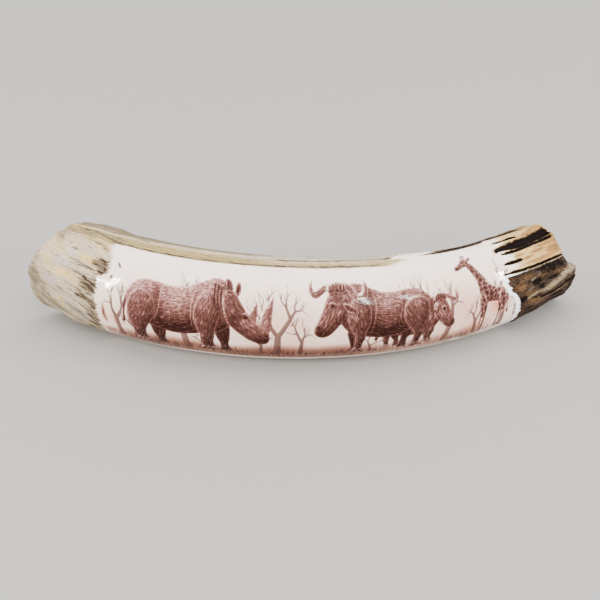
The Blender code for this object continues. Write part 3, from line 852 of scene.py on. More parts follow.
HONEY_PATCHES = (
    (-122, 21.5, 6, 4.5, 1.2), (-108.5, 44.5, 8, 4, 1.1), (-127, -10.5, 3, 4, 1.15), (-139.5, 32, 6, 7, 0.7),
    (-104, 70, 14, 8, 0.8), (-128, 88, 20, 8, 0.9), (-133, 46, 6, 5, 0.6), (-100, -62, 9, 10, 0.6),
    (-129.5, 24, 2, 5, 0.8),
)
CHALKY_PATCHES = (
    (-126, 50.5, 6, 5, 1.1), (-126, 33.5, 8, 5, 1.05), (-120.5, -13.5, 6, 6, 1.1), (-113, -22, 8, 8, 0.9),
    (-134, -24, 8, 8, 0.9), (-133, 8, 7, 6, 0.8), (-110, 56, 6, 4, 0.7),
)
# Painted shade on the root's end: grey on its cut facets, in its notch and under it, where they face away
# from the light.
ROOT_END_SHADE = (
    (-153, 0, 7, 16, 1.25), (-150, -32, 10, 22, 1.1), (-152, 32, 4, 14, 0.7), (-143, 72, 6, 10, 0.9),
    (-148, 110, 9, 30, 0.8), (-150, 180, 9, 40, 0.8), (-139, 62, 5, 6, 0.7), (-118, -40, 14, 12, 0.6),
    (-125, -60, 20, 14, 0.8), (-141, -17, 9, 9, 1.3), (-132, -22, 9, 7, 1), (-115, -21, 7, 6, 0.8),
    (-151, 6, 6, 12, 1.3),
)
AMBER_BLOTCHES = (
    (154, 13, 6, 8, 1), (163, -2, 7, 5, 1), (168, -12, 10, 6, 0.9), (180, -22, 12, 5, 0.8),
    (176, 17, 5, 4, 0.7), (190, 14, 8, 3, 0.7), (203, 2, 5, 4, 0.6), (160, 22, 8, 5, 0.75),
    (178, 112, 20, 9, 0.6), (178, -62, 20, 9, 0.6),
)
BONE_RIDGES = (
    (168, -4, 9, 2.6, 1), (184, 0.5, 10, 4.4, 1.3), (196, 6, 9, 5.8, 1.4), (206, 11, 6, 8.8, 1.45),
    (166, 17, 3, 2, 0.75), (163, 6, 4, 1.5, 0.65), (171, 20, 3, 1.5, 0.65), (193, -12.5, 11, 2.6, 0.8),
    (176, -16, 7, 1.8, 0.65),
)
TAR_BLOTCHES = (
    (180, 27, 17, 3.5, 1.05), (192, 21, 12, 4, 0.85), (169, 12, 5, 6, 1.1), (173, 4, 4, 4, 1.05),
    (157.5, -6, 4, 5, 1.15), (152, 20, 4, 3, 0.7), (162, 16, 3, 3, 0.8), (185, 10, 7, 2.5, 0.95),
    (170, -9, 7, 2.5, 0.85), (180, -44, 22, 7, 0.8), (200, -34, 10, 6, 0.8), (163, -22, 4, 4, 0.85),
    (182, -30, 10, 2, 0.8), (206, -28, 5, 12, 0.9), (158, 30, 5, 2, 0.8), (186, 24, 14, 7, 1),
    (204, 22, 4, 8, 1), (170, -36, 14, 6, 0.8), (190, -22, 12, 3, 0.9),
)
GOLD_PATCHES = (
    (192, 47, 7, 6, 0.85), (191, 88, 6, 4, 0.8), (178, 52, 8, 2.2, 0.9), (166, 47, 5, 1.6, 1.05),
    (174, 39, 10, 2.2, 0.85), (199, 60, 4, 10, 1), (188, 57, 8, 2, 0.85), (182, 85, 12, 1.8, 0.75),
    (203, 45, 3, 9, 0.8), (160, 54, 6, 1.5, 0.7),
)
RIDGE_TWIST = 0.42
REAR = (104.0, 135.0)  # angles between which the outer side's stains give way to the plainer rear
# Stations and angles of the dark line along the top of the tip.
CREST = ((0.081, 0.110, 0.1265, 0.146, 0.1565, 0.170, 0.184), (91, 94, 96.5, 102, 105.5, 106.5, 103))
SEAM_HIGHLIGHT = {"angle": 31.8, "fall": 24.0, "width": 0.9}  # a pale line along the lip below the tip's seam, painted as the highlight on that edge, in degrees
LIP_FRAYS = ((2.3, 0.0010, 21),)
LIP_DEPTH = (0.0048, 0.0030)  # how far the splintered lip reaches into the panel


def slot_darkness(stations, angles, reach=1.05):
    """1 within some reach of the middle of the tip's slots and seams, in half widths, less for the
    shallowest. Laid on as colour, it is painted shade inside the slots.
    """
    dark = np.zeros(stations.shape)
    for slot in TIP_SLOTS:
        opening, across = slot_shares(stations, angles, slot)
        within = blend(reach + 0.2, reach - 0.2, across) * blend(0.0, 0.25, opening)
        dark = np.maximum(dark, within * min(1.0, slot[-1] / 0.0008))
    return dark


def crest_darkness(stations, angles):
    """1 on the dark line that runs along the top of the tip, and 1 on the brown skin just beyond it."""
    gap = signed(angles) - np.interp(stations, *CREST)
    line = ridge(gap, 2.0 + 3.2 * blend(0.092, 0.120, stations))
    line = line * window(stations, 0.088, 0.106, 0.182, 0.193)
    start = 0.090 + 0.0012 * np.maximum(gap, 0.0)
    return line, window(gap, 2.0, 5.0, 16.0, 38.0) * blend(start, start + 0.018, stations)


BAND_EDGE = ((-0.150, -0.1145, -0.092), (93.8, 83.5, 76.8))  # stations and angles of the line under the band
PARTING = 88.0  # the angle of the line between the band's two strands
BAND_CUT = {"station": 0.0712, "angle": 86.5, "slant": 0.00047, "width": 0.0009}  # where the upper one ends


def band_amounts(stations, side):
    """Straw, olive, umber and chalk amounts of the two strands of natural skin left along the top."""
    hidden = blend(*REAR, side)
    band = blend(74.5, 76.5, side) * blend(0.098, 0.082, stations)
    forward = blend(-0.030 - 0.040 * hidden, 0.010 + 0.050 * hidden, stations)
    upper_end = blend(0.077, 0.073, stations)
    edge_line = ridge(side - np.interp(stations, *BAND_EDGE), 1.4) * blend(0.082, 0.060, stations)
    strand_line = ridge(side - PARTING, 1.3) * forward * upper_end
    slant = stations - BAND_CUT["station"] - BAND_CUT["slant"] * (side - BAND_CUT["angle"])
    slant = ridge(slant, BAND_CUT["width"]) * window(side, 84.0, 87.0, 95.0, 99.0)
    taupe = ridge(side - 96.0, 3.5) * blend(-0.055, -0.085, stations)
    upper_end = upper_end * (1.0 - hidden) + hidden * blend(0.110, 0.020, stations)
    upper = (0.58 * blend(93.0, 97.0, side) + 0.50 * blend(99.0, 108.0, side)) * blend(176.0, 128.0, side)
    upper = upper * upper_end * (1.0 - 0.6 * forward) * (side > 80.0)
    straw = (1.4 - 0.75 * forward) * band * blend(91.0 - 4.5 * forward, 86.0 - 3.5 * forward, side)
    lines = strongest(edge_line, strand_line, slant) * blend(-0.165, -0.120, stations)
    olive = strongest(1.1 * lines, 0.9 * taupe, upper, 0.36 * straw * blend(-0.070, -0.100, stations))
    chalk = 0.8 * forward * upper_end * window(side, 89.0, 92.0, 106.0, 138.0) * band
    return straw, olive, 0.62 * lines, chalk


def lip_and_highlight_share(stations, angles):
    """1 on the splintered lip where the panel breaks off at the tip's dark core. It is painted bright white:
    partly the lip's own whiter colour, partly a painted highlight on its edge.
    """
    side = signed(angles)
    depth = panel_depth(stations, angles) + frays(side, LIP_FRAYS)
    return blend(*LIP_DEPTH, depth) * blend(36.0, 31.0, side) * (stations > 0.130)


def stain_attributes(mesh, stations, angles, sizes):
    """How far each stain has taken at each vertex; the material breaks them up along the fibres."""
    def spots(ovals, twist=None):
        return stained(stations, angles, ovals, twist)

    side = signed(angles)
    height = sizes * np.sin(np.radians(side))
    outward = sizes * np.cos(np.radians(side))
    hidden = blend(*REAR, side)
    root = blend(-0.080, -0.098, stations)
    upper_tip = blend(0.143 - 0.010 * hidden, 0.158 + 0.045 * hidden, stations)
    upper_tip = upper_tip * window(side, 29.0, 32.0, 130.0, 178.0)
    core = blend(0.137, 0.150, stations) * blend(0.545, 0.500, height) * blend(-0.87, -0.34, outward)
    frayed = root * window(side, -66.0, -45.0, 48.0, 58.0)
    frayed = frayed * blend(-0.016, -0.003, panel_depth(stations, angles))
    cavity = 1.1 * blend(0.50, 0.38, sizes) * blend(0.0, -0.05, stations)
    worn = 0.5 * blend(0.60, 0.20, sizes) * blend(0.0, 0.05, stations)
    straw, band_olive, band_umber, band_chalk = band_amounts(stations, side)
    crest, browned = crest_darkness(stations, angles)
    # painted highlight: a pale line along the lip below the tip's seam
    seam_edge_highlight = ridge(side + SEAM_HIGHLIGHT["fall"] * (stations - 0.141) - SEAM_HIGHLIGHT["angle"], SEAM_HIGHLIGHT["width"])
    seam_edge_highlight = seam_edge_highlight * blend(0.146, 0.156, stations) * (sizes == 1.0)
    gold = 0.22 + 0.20 * blend(0.158, 0.190, stations) + spots(GOLD_PATCHES, 0.0)
    # painted shade: the tip's slots darkened, the deeper the darker, laid in with the dark core and the crest
    slot_shade = 1.5 * slot_darkness(stations, angles)
    tar_and_slot_shade = strongest(core * spots(TAR_BLOTCHES, 0.0), 0.32 * core, slot_shade, 0.75 * crest)
    bone = core * spots(BONE_RIDGES, RIDGE_TWIST) * (1.0 - 0.4 * blend(1.0, 0.93, sizes))
    splinters = ridge(stations + 0.103, 0.010)
    for name, *amounts in (
        ("chalk", spots(CHALKY_PATCHES), band_chalk),
        # painted shade on the root's end facets and underside
        ("end_shade", spots(ROOT_END_SHADE)),
        ("honey", spots(HONEY_PATCHES), 1.40 * upper_tip),
        ("straw", straw),
        # the olive layer also paints shade along the root's cut and in its notch
        ("olive", spots(OLIVE_FIBRES_AND_SHADE) + 0.36 * frayed, band_olive),
        ("gold", upper_tip * gold, 0.85 * browned),
        ("umber", spots(UMBER_FIBRES) + 0.12 * frayed, 1.35 * crest, band_umber, 1.25 * core, cavity + worn),
        # the amber layer also browns the slots' edges as painted shade
        ("amber", core * spots(AMBER_BLOTCHES, 0.0), 0.95 * browned * blend(0.170, 0.150, stations),
         slot_darkness(stations, angles, 1.3)),
        # the bone layer also carries the painted highlight along the seam's lip
        ("bone", bone, 1.2 * seam_edge_highlight),
        ("tar_and_slot_shade", tar_and_slot_shade * np.where(sizes < 1.0, 0.5, 1.0)),
        # the lip at the tip: its own whiter colour and a painted highlight
        ("lip_and_highlight", lip_and_highlight_share(stations, angles)),
        ("rough", np.clip(0.15 + 0.20 * root + 0.65 * splinters + 0.85 * core, 0.0, 1.0)),
    ):
        set_attribute(mesh, name, strongest(*amounts))


def engraving_attributes(mesh, stations, angles):
    """The engraving, read from the plate at each vertex of the panel."""
    along = stations / MM * OUTER_STRETCH
    foot = FOOT_LINE - FOOT_SINK * blend(-0.040, -0.105, stations)
    up = PANEL_RADIUS * np.radians(signed(angles) - foot)
    on_panel = (panel_depth(stations, angles) > -2 * MM) & (up > -9.0)
    plate = Plate(np.stack([along[on_panel], up[on_panel]], axis=-1))
    engrave(plate)
    bare = {"figure": FAR, "branch": FAR}
    for name in ("figure", "figure_tone", "branch", "branch_tone", "wash", "tint_and_shade", "pale"):
        values = np.full(len(stations), bare.get(name, 0.0))
        values[on_panel] = getattr(plate, name)
        set_attribute(mesh, name, values)
    stroke = np.zeros((len(stations), 3))
    stroke[on_panel, :2] = plate.stroke
    set_attribute(mesh, "stroke", stroke)


# ------------ the baked maps' layout

BAKE_CUT = 0.026  # station at which the front of the tusk is laid out in two rows
FRONT = (-50.0, 104.0)
REAR_LENGTH = 0.70
REAR_SPILL = 4.0  # degrees by which the rear's row runs on past the front at either side
ROWS = {"root half": (0.00, 0.39), "tip half": (0.40, 0.79), "rear": (0.80, 0.99)}
FACE_DISCS = {"root": (0.785, 0.90), "tip": (0.925, 0.90)}
DISC_RADIUS = 0.065


def bake_layout(mesh, grid):
    """Lays the front out in two long rows, the rear in a third, and the end faces as discs."""
    stations, angles, sizes = grid
    count = len(angles)
    corners = np.empty(len(mesh.loops), np.int32)
    mesh.loops.foreach_get("vertex_index", corners)
    starts = np.empty(len(mesh.polygons), np.int32)
    mesh.polygons.foreach_get("loop_start", starts)
    lengths = np.diff(np.append(starts, len(corners)))
    last_ring = len(sizes) - 1
    poles = corners >= count * len(sizes)
    ring = np.where(poles, last_ring * (corners - count * len(sizes)), corners // count)
    size = np.where(poles, 0.0, sizes[ring])
    angle = np.where(poles, 0.0, angles[corners % count])
    station = np.where(poles, 0.0, stations[ring, corners % count])
    side = signed(angle)
    least = np.repeat(np.fmin.reduceat(np.where(poles, np.nan, side), starts), lengths)
    most = np.repeat(np.fmax.reduceat(np.where(poles, np.nan, side), starts), lengths)
    middle = np.repeat(np.add.reduceat(station, starts) / lengths, lengths)
    ends = np.repeat(np.minimum.reduceat(size, starts), lengths) < 1.0
    front = (least >= FRONT[0]) & (most <= FRONT[1]) & (most - least <= 180.0)
    first, last = stations.min() - MM, stations.max() + MM
    u = REAR_LENGTH * (station - first) / (last - first)
    low, high = ROWS["rear"]
    behind = 360.0 + FRONT[0] - FRONT[1] + 2.0 * REAR_SPILL
    v = low + (high - low) * (side % 360.0 - FRONT[1] + REAR_SPILL) / behind
    for half, row, start, end in (
        (middle < BAKE_CUT, "root half", first, BAKE_CUT + MM),
        (middle >= BAKE_CUT, "tip half", BAKE_CUT - MM, last),
    ):
        low, high = ROWS[row]
        u = np.where(front & half, (station - start) / (end - start), u)
        v = np.where(front & half, low + (high - low) * (side - FRONT[0]) / (FRONT[1] - FRONT[0]), v)
    for half, disc in ((middle < 0, "root"), (middle >= 0, "tip")):
        centre_u, centre_v = FACE_DISCS[disc]
        u = np.where(ends & half, centre_u + DISC_RADIUS * size * np.cos(np.radians(angle)), u)
        v = np.where(ends & half, centre_v + DISC_RADIUS * size * np.sin(np.radians(angle)), v)
    layout = mesh.uv_layers.new(name="OFBake")
    layout.data.foreach_set("uv", np.stack([u, v], axis=-1).astype(np.float32).ravel())


# ------------ nodes


def add(tree, kind, inputs=(), **settings):
    """Adds a node. Each input, by name or in order, is a value, or the node or socket that feeds it."""
    node = tree.nodes.new(kind)
    for name, value in settings.items():
        setattr(node, name, value)
    for name, value in inputs.items() if isinstance(inputs, dict) else enumerate(inputs):
        if isinstance(value, bpy.types.Node):
            value = next(socket for socket in value.outputs if socket.enabled)
        if isinstance(value, bpy.types.NodeSocket):
            tree.links.new(value, node.inputs[name])
        else:
            node.inputs[name].default_value = value
    return node


def linear(hex_colour):
    """An sRGB hex colour as linear RGBA."""
    channels = [int(hex_colour[i:i + 2], 16) / 255 for i in (1, 3, 5)]
    return (*[c / 12.92 if c <= 0.04045 else ((c + 0.055) / 1.055) ** 2.4 for c in channels], 1.0)


# ------------ fine relief of the skin, by geometry nodes

WEATHERING = {  # sizes in mm, depths in metres; real fibres are finer, and are drawn this wide to be seen
    "Fibre size": (16.0, 1.5, 1.5), "Fibre depth": 0.00055,
    "Pit size": (3.2, 3.2, 3.2), "Pit depth": 0.00050,
}


def weathering_tree():
    """Sinks the natural skin along its fibres and in shallow pits, never above the form it starts from."""
    tree = bpy.data.node_groups.new("weathering", "GeometryNodeTree")
    for name, kind in (("Geometry", "Geometry"), ("Fibre size", "Vector"), ("Fibre depth", "Float"),
                       ("Pit size", "Vector"), ("Pit depth", "Float"), ("Finish", "Material")):
        tree.interface.new_socket(name, in_out="INPUT", socket_type="NodeSocket" + kind)
    tree.interface.new_socket("Geometry", in_out="OUTPUT", socket_type="NodeSocketGeometry")
    given = add(tree, "NodeGroupInput").outputs
    fibre, rough, panel = (
        add(tree, "GeometryNodeInputNamedAttribute", {"Name": name}, data_type=kind)
        for name, kind in (("fibre", "FLOAT_VECTOR"), ("rough", "FLOAT"), ("panel", "FLOAT")))
    noise = {}
    for name, settings in (("Fibre", {"Detail": 3.0, "Roughness": 0.6}), ("Pit", {"Detail": 2.0})):
        places = add(tree, "ShaderNodeVectorMath", (fibre, given[name + " size"]), operation="DIVIDE")
        noise[name] = add(tree, "ShaderNodeTexNoise", {"Vector": places, "Scale": 1.0, **settings})
    sunk = add(tree, "ShaderNodeMapRange", (noise["Pit"], 0.42, 0.70))
    groove = add(tree, "ShaderNodeMath", (noise["Fibre"], given["Fibre depth"]), operation="MULTIPLY")
    depth = add(tree, "ShaderNodeMath", (sunk, given["Pit depth"], groove), operation="MULTIPLY_ADD")
    natural = add(tree, "ShaderNodeMapRange", (panel, 0.0, -0.9, 0.0, -1.0))
    share = add(tree, "ShaderNodeMath", (rough, natural), operation="MULTIPLY")
    inward = add(tree, "ShaderNodeMath", (depth, share), operation="MULTIPLY")
    normal = add(tree, "GeometryNodeInputNormal")
    offset = add(tree, "ShaderNodeVectorMath", {0: normal, "Scale": inward}, operation="SCALE")
    moved = add(tree, "GeometryNodeSetPosition", {"Geometry": given["Geometry"], "Offset": offset})
    whole = add(tree, "GeometryNodeRealizeInstances", {"Geometry": moved})
    finished = add(tree, "GeometryNodeSetMaterial", {"Geometry": whole, "Material": given["Finish"]})
    add(tree, "NodeGroupOutput", {"Geometry": finished})
    return tree


def weathered(rough_tusk, finish):
    """The tusk with its fine relief, as a plain mesh in its place."""
    modifier = rough_tusk.modifiers.new("weathering", "NODES")
    modifier.node_group = weathering_tree()
    settings = {**WEATHERING, "Finish": finish}
    for item in modifier.node_group.interface.items_tree:
        if item.name in settings:
            modifier[item.identifier] = settings[item.name]
    graph = bpy.context.evaluated_depsgraph_get()
    mesh = bpy.data.meshes.new_from_object(rough_tusk.evaluated_get(graph))
    mesh.name = "engraved_tusk"
    bpy.data.objects.remove(rough_tusk)
    tusk = bpy.data.objects.new("engraved_tusk", mesh)
    bpy.context.scene.collection.objects.link(tusk)
    return tusk


# ------------ the finish

BARE_IVORY = "#fce9db"
FIGURE_INKS = ((0.0, BARE_IVORY), (0.20, "#b17e75"), (0.42, "#6b423c"), (0.64, "#4a2c26"), (1.0, "#28120e"))
GROUND_INKS = ((0.0, BARE_IVORY), (0.20, "#cfa890"), (0.45, "#936755"), (0.75, "#683f2f"), (1.0, "#3e1c12"))
# colour of the warm tint, which partly paints shade towards the bottom of the panel
TINT_AND_SHADE_COLOUR = "#dd9a80"
GRAIN = {  # mm along and across; real fibres and strokes are finer, and are drawn this wide to be seen
    "long": (24.0, 1.1), "splinter": (6.5, 0.8), "broad": (22.0, 5.0), "blotch": (4.2, 2.6),
    "mottle": (2.8, 1.3), "stroke": (2.6, 0.65), "scratch": (4.2, 0.75), "blades": (0.8, 7.0),
}
# The grey layer on the root's end is painted shade. The olive layer also paints shade along the root's cut
# and in its notch, the tar and amber layers paint shade into the tip's slots, and the bone layer a highlight
# along the seam's lip.
STAINS = (  # stain, the grain that breaks it up, how softly it ends, and its lightest and darkest colour
    ("chalk", "broad", 0.50, "#d0c6c5", "#96908f"), ("end_shade", "blotch", 0.50, "#7b705c", "#5e5546"),
    ("honey", "broad", 0.45, "#e9cb82", "#b98f4c"), ("straw", "long", 0.45, "#b09a60", "#84724a"),
    ("olive", "splinter", 0.25, "#857458", "#5c503d"), ("gold", "long", 0.22, "#a87a3c", "#6b4824"),
    ("umber", "splinter", 0.25, "#4a382c", "#281d17"), ("amber", "mottle", 0.22, "#74532f", "#473321"),
    ("bone", "mottle", 0.30, "#a89370", "#756550"), ("tar_and_slot_shade", "mottle", 0.22, "#160e0a", "#070302"),
)


def grain(tree, places, name, detail=3.0):
    """Noise drawn out along the fibres or strokes, spread to run from 0 to 1."""
    length, width = GRAIN[name]
    divided = add(tree, "ShaderNodeVectorMath", (places, (length, width, width)), operation="DIVIDE")
    settings = {"Vector": divided, "Scale": 1.0, "Detail": detail, "Roughness": 0.6}
    noise = add(tree, "ShaderNodeTexNoise", settings)
    return add(tree, "ShaderNodeMapRange", (noise, 0.30, 0.70))


def layered(tree, colour, coats):
    """Lays coats over a colour, each a share, a colour or the node that gives one, and how it is mixed."""
    for share, coat, blend_type in coats:
        coat = linear(coat) if isinstance(coat, str) else coat
        inputs = {"Factor": share, "A": colour, "B": coat}
        colour = add(tree, "ShaderNodeMix", inputs, data_type="RGBA", blend_type=blend_type)
    return colour


def ink_colour(tree, tone, inks):
    """The colour of ink rubbed in to some tone, from bare ivory at 0 to full ink at 1."""
    ramp = add(tree, "ShaderNodeValToRGB", (tone,))
    stops = ramp.color_ramp.elements
    while len(stops) < len(inks):
        stops.new(0.5)
    for stop, (place, colour) in zip(stops, inks):
        stop.position = place
        stop.color = linear(colour)
    return ramp


def panel_colour(tree, read):
    """Creamy white polished dentine, its engraving rubbed with red-brown ink and scratched pale again."""
    stroke, fibre = read["stroke"], read["fibre"]
    blades = add(tree, "ShaderNodeMapRange", (grain(tree, fibre, "blades", 2.0), 0.0, 1.0, 0.70, 1.10))
    rubbed = add(tree, "ShaderNodeMath", (blades, read["wash"]), operation="MULTIPLY", use_clamp=True)
    fine = add(tree, "ShaderNodeMapRange", (grain(tree, stroke, "scratch", 0.0), 0.72, 1.0, 0.0, 0.40))
    cut = add(tree, "ShaderNodeMapRange", (read["pale"], 0.05, 0.80, 0.0, 0.90))
    scratched = add(tree, "ShaderNodeMath", (fine, cut), operation="MAXIMUM")
    kept = add(tree, "ShaderNodeMath", (1.0, scratched), operation="SUBTRACT")
    shading = add(tree, "ShaderNodeMapRange", (grain(tree, stroke, "stroke", 1.0), 0.0, 1.0, -0.15, 0.21))
    tone = add(tree, "ShaderNodeMath", (read["figure_tone"], shading), operation="ADD")
    tone = add(tree, "ShaderNodeMath", (tone, kept), operation="MULTIPLY")
    washed = add(tree, "ShaderNodeMapRange", (rubbed, 0.0, 0.12))
    branched = add(tree, "ShaderNodeMapRange", (read["branch"], 0.22, -0.12, 0.0, 0.9))
    figured = add(tree, "ShaderNodeMapRange", (read["figure"], 0.14, -0.14))
    return layered(tree, linear("#f9e3d3"), (
        (grain(tree, fibre, "broad", 2.0), BARE_IVORY, "MIX"),
        (washed, ink_colour(tree, rubbed, GROUND_INKS), "MIX"),
        # the warm tint multiplied in is partly painted shade towards the bottom
        (read["tint_and_shade"], TINT_AND_SHADE_COLOUR, "MULTIPLY"),
        (branched, ink_colour(tree, read["branch_tone"], FIGURE_INKS), "MIX"),
        (figured, ink_colour(tree, tone, FIGURE_INKS), "MIX"),
        # the splintered lip at the tip painted white: its own whiter colour and a painted highlight on its
        # edge
        (read["lip_and_highlight"], "#ffffff", "MIX"),
    ))


def skin_colour(tree, read):
    """The skin as it grew: chalky cementum, stained along its fibres, and the dark core of the tip."""
    patterns = ("long", "splinter", "broad", "blotch", "mottle")
    noise = {name: grain(tree, read["fibre"], name) for name in patterns}
    colour = layered(tree, linear("#b29d82"), ((noise["blotch"], "#cfb99c", "MIX"),))
    for name, pattern, soft, light, dark in STAINS:
        reached = add(tree, "ShaderNodeMath", (read[name], noise[pattern]), operation="ADD")
        taken = add(tree, "ShaderNodeMapRange", (reached, 1.0 - soft, 1.0 + soft))
        shade = layered(tree, linear(dark), ((noise["long"], light, "MIX"),))
        colour = layered(tree, colour, ((taken, shade, "MIX"),))
    hairs = add(tree, "ShaderNodeMapRange", (noise["splinter"], 0.40, 0.0, 0.0, 0.24))
    return layered(tree, colour, ((hairs, "#7d6a55", "MULTIPLY"),))


def engraved_ivory():
    """Hippopotamus ivory. The sanded and waxed panel is smooth and glossy, and its splintered lip duller. The
    cementum left round it is dry, fibrous and matt, and dirt and tannin have stained it along the grain."""
    material = bpy.data.materials.new("engraved_hippo_ivory")
    material.use_nodes = True
    tree = material.node_tree
    shader = tree.nodes["Principled BSDF"]
    places = ("fibre", "stroke")
    names = ("panel", "figure", "figure_tone", "branch", "branch_tone", "wash", "pale", "tint_and_shade", "lip_and_highlight",
             *[stain[0] for stain in STAINS])
    read = {}
    for name in places + names:
        attribute = add(tree, "ShaderNodeAttribute", attribute_name=name)
        read[name] = attribute.outputs["Vector" if name in places else "Fac"]
    fibrous = grain(tree, read["fibre"], "splinter", 4.0)
    fray = add(tree, "ShaderNodeMath", (fibrous, 0.5, read["panel"]), operation="MULTIPLY_ADD")
    polished = add(tree, "ShaderNodeMapRange", (fray, 0.10, 0.45))
    colour = layered(tree, skin_colour(tree, read), ((polished, panel_colour(tree, read), "MIX"),))
    paleness = add(tree, "ShaderNodeRGBToBW", (colour,))
    matt = add(tree, "ShaderNodeMapRange", (fibrous, 0.0, 1.0, 0.50, 0.68))
    waxed = add(tree, "ShaderNodeMapRange", (read["lip_and_highlight"], 0.0, 1.0, 0.09, 0.25))
    rough_skin = add(tree, "ShaderNodeMath", (1.0, polished), operation="SUBTRACT")
    height = add(tree, "ShaderNodeMath", (fibrous, rough_skin), operation="MULTIPLY")
    shine = add(tree, "ShaderNodeMapRange", (polished, 0.0, 1.0, 0.40, 0.85))
    gloss = add(tree, "ShaderNodeMapRange", (paleness, 0.0, 0.45, 0.03, shine))
    roughness = add(tree, "ShaderNodeMix", {"Factor": polished, "A": matt, "B": waxed}, data_type="FLOAT")
    bumps = add(tree, "ShaderNodeBump", {"Height": height, "Strength": 0.6, "Distance": 0.0005})
    for socket, node in (
        ("Base Color", colour), ("Specular IOR Level", gloss), ("Roughness", roughness), ("Normal", bumps),
    ):
        tree.links.new(next(output for output in node.outputs if output.enabled), shader.inputs[socket])
    shader.inputs["IOR"].default_value = 1.54
    return material


# ------------ the tusk

FIBRES_TURN = -0.088  # station from which the fibres run askew, towards the root
SOFT_TIP = {"from": 0.141, "to": 0.170, "above": 30.0}  # where the polish fades out above the tip's seam
DULL_CORNER = {"angles": (46.0, 56.0), "end": -0.080}  # high on the root the polish gives way to fibres
STRAW_END = (0.058, 0.072, 0.104, 0.114)  # and it comes in slowly where the band of skin runs out
BEYOND_BAND = {"start": 0.0745, "angle": 85.0, "slant": 0.0004, "end": 0.150, "rear": 110.0}
BEYOND_FRAYS = ((1.5, 0.0006, 20),)
REAR_FRAYS = ((0.012, 3.0, 18), (0.004, 2.0, 19))


def polish_depth(station, angle):
    """As panel_depth, but fading slowly into the cream of the tip, the band's end and the root's top."""
    side = signed(angle)
    fade = 0.0009 * (0.5 - blend(SOFT_TIP["from"], SOFT_TIP["to"], station))
    above_seam = (side > SOFT_TIP["above"]) & (side < PANEL_TOP[1]) & (station > SOFT_TIP["from"])
    depth = np.where(above_seam, fade, panel_depth(station, angle))
    corner = blend(*DULL_CORNER["angles"], side) * (station < DULL_CORNER["end"])
    corner = corner * (side < PANEL_TOP[0] - 2.0)
    straw_end = window(station, *STRAW_END) * (side > 72.0)
    depth = depth * (1.0 - 0.92 * corner) * (1.0 - 0.85 * straw_end)
    above = side - BEYOND_BAND["angle"]
    start = BEYOND_BAND["start"] + BEYOND_BAND["slant"] * above - frays(side, BEYOND_FRAYS)
    around = 0.0005 * np.minimum(above, BEYOND_BAND["rear"] + frays(station, REAR_FRAYS) - side)
    beyond_band = np.minimum.reduce((station - start, BEYOND_BAND["end"] - station, around))
    cracked = strongest(slot_darkness(station, angle, 1.4), *crest_darkness(station, angle))
    return np.minimum(np.maximum(depth, beyond_band), 0.0010 * (0.4 - cracked))


def make_tusk():
    stations, angles, sizes, points = tusk_grid()
    vertices, faces = closed_loft(points)
    mesh = bpy.data.meshes.new("tusk_form")
    mesh.from_pydata(vertices.tolist(), [], faces)
    mesh.shade_smooth()
    station = at_vertices(stations, [stations[0].mean(), stations[-1].mean()])
    angle = at_vertices(np.tile(angles, len(sizes)), [0.0, 0.0])
    size = at_vertices(np.repeat(sizes, len(angles)), [0.0, 0.0])
    radius = size * half_height(station) / MM
    twist = root_twist(signed(angle)) * np.minimum((station - FIBRES_TURN) / MM, 0.0)
    wander = np.radians(angle - twist + FLUTE_WANDER * np.sin(station / FLUTE_WAVES[0]))
    fibre = np.stack([station / MM, radius * np.cos(wander), radius * np.sin(wander)], axis=-1)
    set_attribute(mesh, "fibre", fibre)
    set_attribute(mesh, "panel", np.where(size < 1.0, -FAR, polish_depth(station, angle) / MM))
    stain_attributes(mesh, station, angle, size)
    engraving_attributes(mesh, station, angle)
    bake_layout(mesh, (stations, angles, sizes))
    form = bpy.data.objects.new("tusk_form", mesh)
    bpy.context.scene.collection.objects.link(form)
    return weathered(form, engraved_ivory())


tusk = make_tusk()
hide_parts("tusk")
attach(tusk, "root")


# ------------ floor, lights and camera

FLOOR_COLOUR = "#989693"
CAMERA_PLACE = (-0.0253, -0.7282, 0.3939)
CAMERA_AIM = (-0.0050, -0.0169, 0.0296)
CAMERA_LENS = 75.45
CAMERA_ROLL = 0.35  # degrees
SKY_TILT = (0.25, -0.10, 1.0)  # the soft light comes from above, a little from the right and the front
SKY_STRENGTH = (1.0, 3.58)
STRIP_DISTANCE = 1.6
STRIPS = (  # name, azimuth, elevation, width, height, lean in degrees and watts
    ("far_left_strip", -71, 14, 0.045, 0.60, 0, 14), ("left_strip", -65, 14, 0.040, 0.60, 0, 13),
    ("front_strip", 26, 27, 0.050, 0.40, 0, 9), ("front_right_strip", 41, 25, 0.030, 0.25, 0, 4),
    ("right_strip", 79, 20, 0.035, 0.42, -19, 11),
)


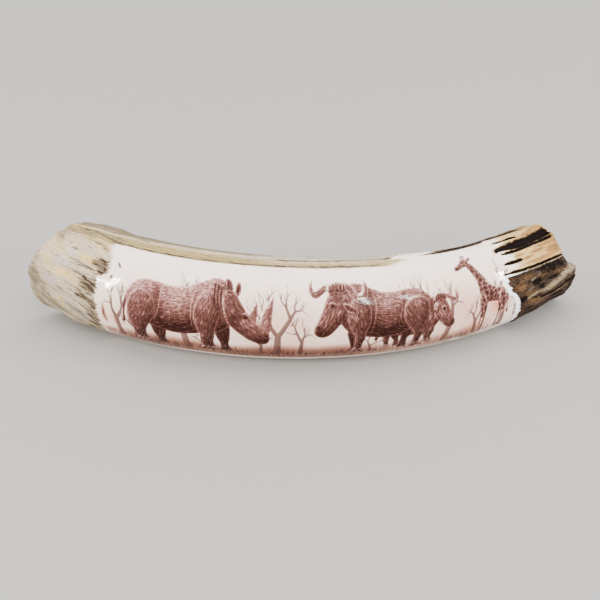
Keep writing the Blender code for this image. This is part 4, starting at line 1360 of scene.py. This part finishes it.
def make_floor():
    bpy.ops.mesh.primitive_plane_add(size=8.0, location=(0.0, 2.0, 0.0))
    floor = bpy.context.object
    floor.name = "floor"
    material = bpy.data.materials.new("matt_paper")
    material.use_nodes = True
    shader = material.node_tree.nodes["Principled BSDF"]
    shader.inputs["Base Color"].default_value = linear(FLOOR_COLOUR)
    shader.inputs["Roughness"].default_value = 0.8
    floor.data.materials.append(material)


def make_strip(name, azimuth, elevation, width, height, lean, power):
    """A tall soft lamp facing the tusk; azimuth 0 is in front of it and 90 to the right."""
    turn, rise = math.radians(azimuth), math.radians(elevation)
    away = Vector((math.sin(turn) * math.cos(rise), -math.cos(turn) * math.cos(rise), math.sin(rise)))
    light = bpy.data.lights.new(name, "AREA")
    light.shape = "RECTANGLE"
    light.size = width
    light.size_y = height
    light.energy = power
    lamp = bpy.data.objects.new(name, light)
    lamp.location = away * STRIP_DISTANCE
    leaning = Quaternion((0.0, 0.0, 1.0), math.radians(lean))
    lamp.rotation_euler = ((-away).to_track_quat("-Z", "Y") @ leaning).to_euler()
    bpy.context.scene.collection.objects.link(lamp)


def make_studio():
    world = bpy.data.worlds.new("studio")
    world.use_nodes = True
    tree = world.node_tree
    sky = add(tree, "ShaderNodeTexCoord")
    tilted = add(tree, "ShaderNodeVectorMath", (sky.outputs["Generated"], SKY_TILT), operation="DOT_PRODUCT")
    glow = add(tree, "ShaderNodeMapRange", (tilted.outputs["Value"], -0.2, 1.0, *SKY_STRENGTH))
    tree.links.new(glow.outputs["Result"], tree.nodes["Background"].inputs["Strength"])
    tree.nodes["Background"].inputs["Color"].default_value = linear("#fffdfa")
    bpy.context.scene.world = world
    for strip in STRIPS:
        make_strip(*strip)


def make_camera():
    data = bpy.data.cameras.new("camera")
    data.lens = CAMERA_LENS
    camera = bpy.data.objects.new("camera", data)
    camera.location = CAMERA_PLACE
    look = Vector(CAMERA_AIM) - Vector(CAMERA_PLACE)
    roll = Quaternion((0.0, 0.0, 1.0), math.radians(CAMERA_ROLL))
    camera.rotation_euler = (look.to_track_quat("-Z", "Y") @ roll).to_euler()
    bpy.context.scene.collection.objects.link(camera)
    bpy.context.scene.camera = camera


make_floor()
make_studio()
make_camera()
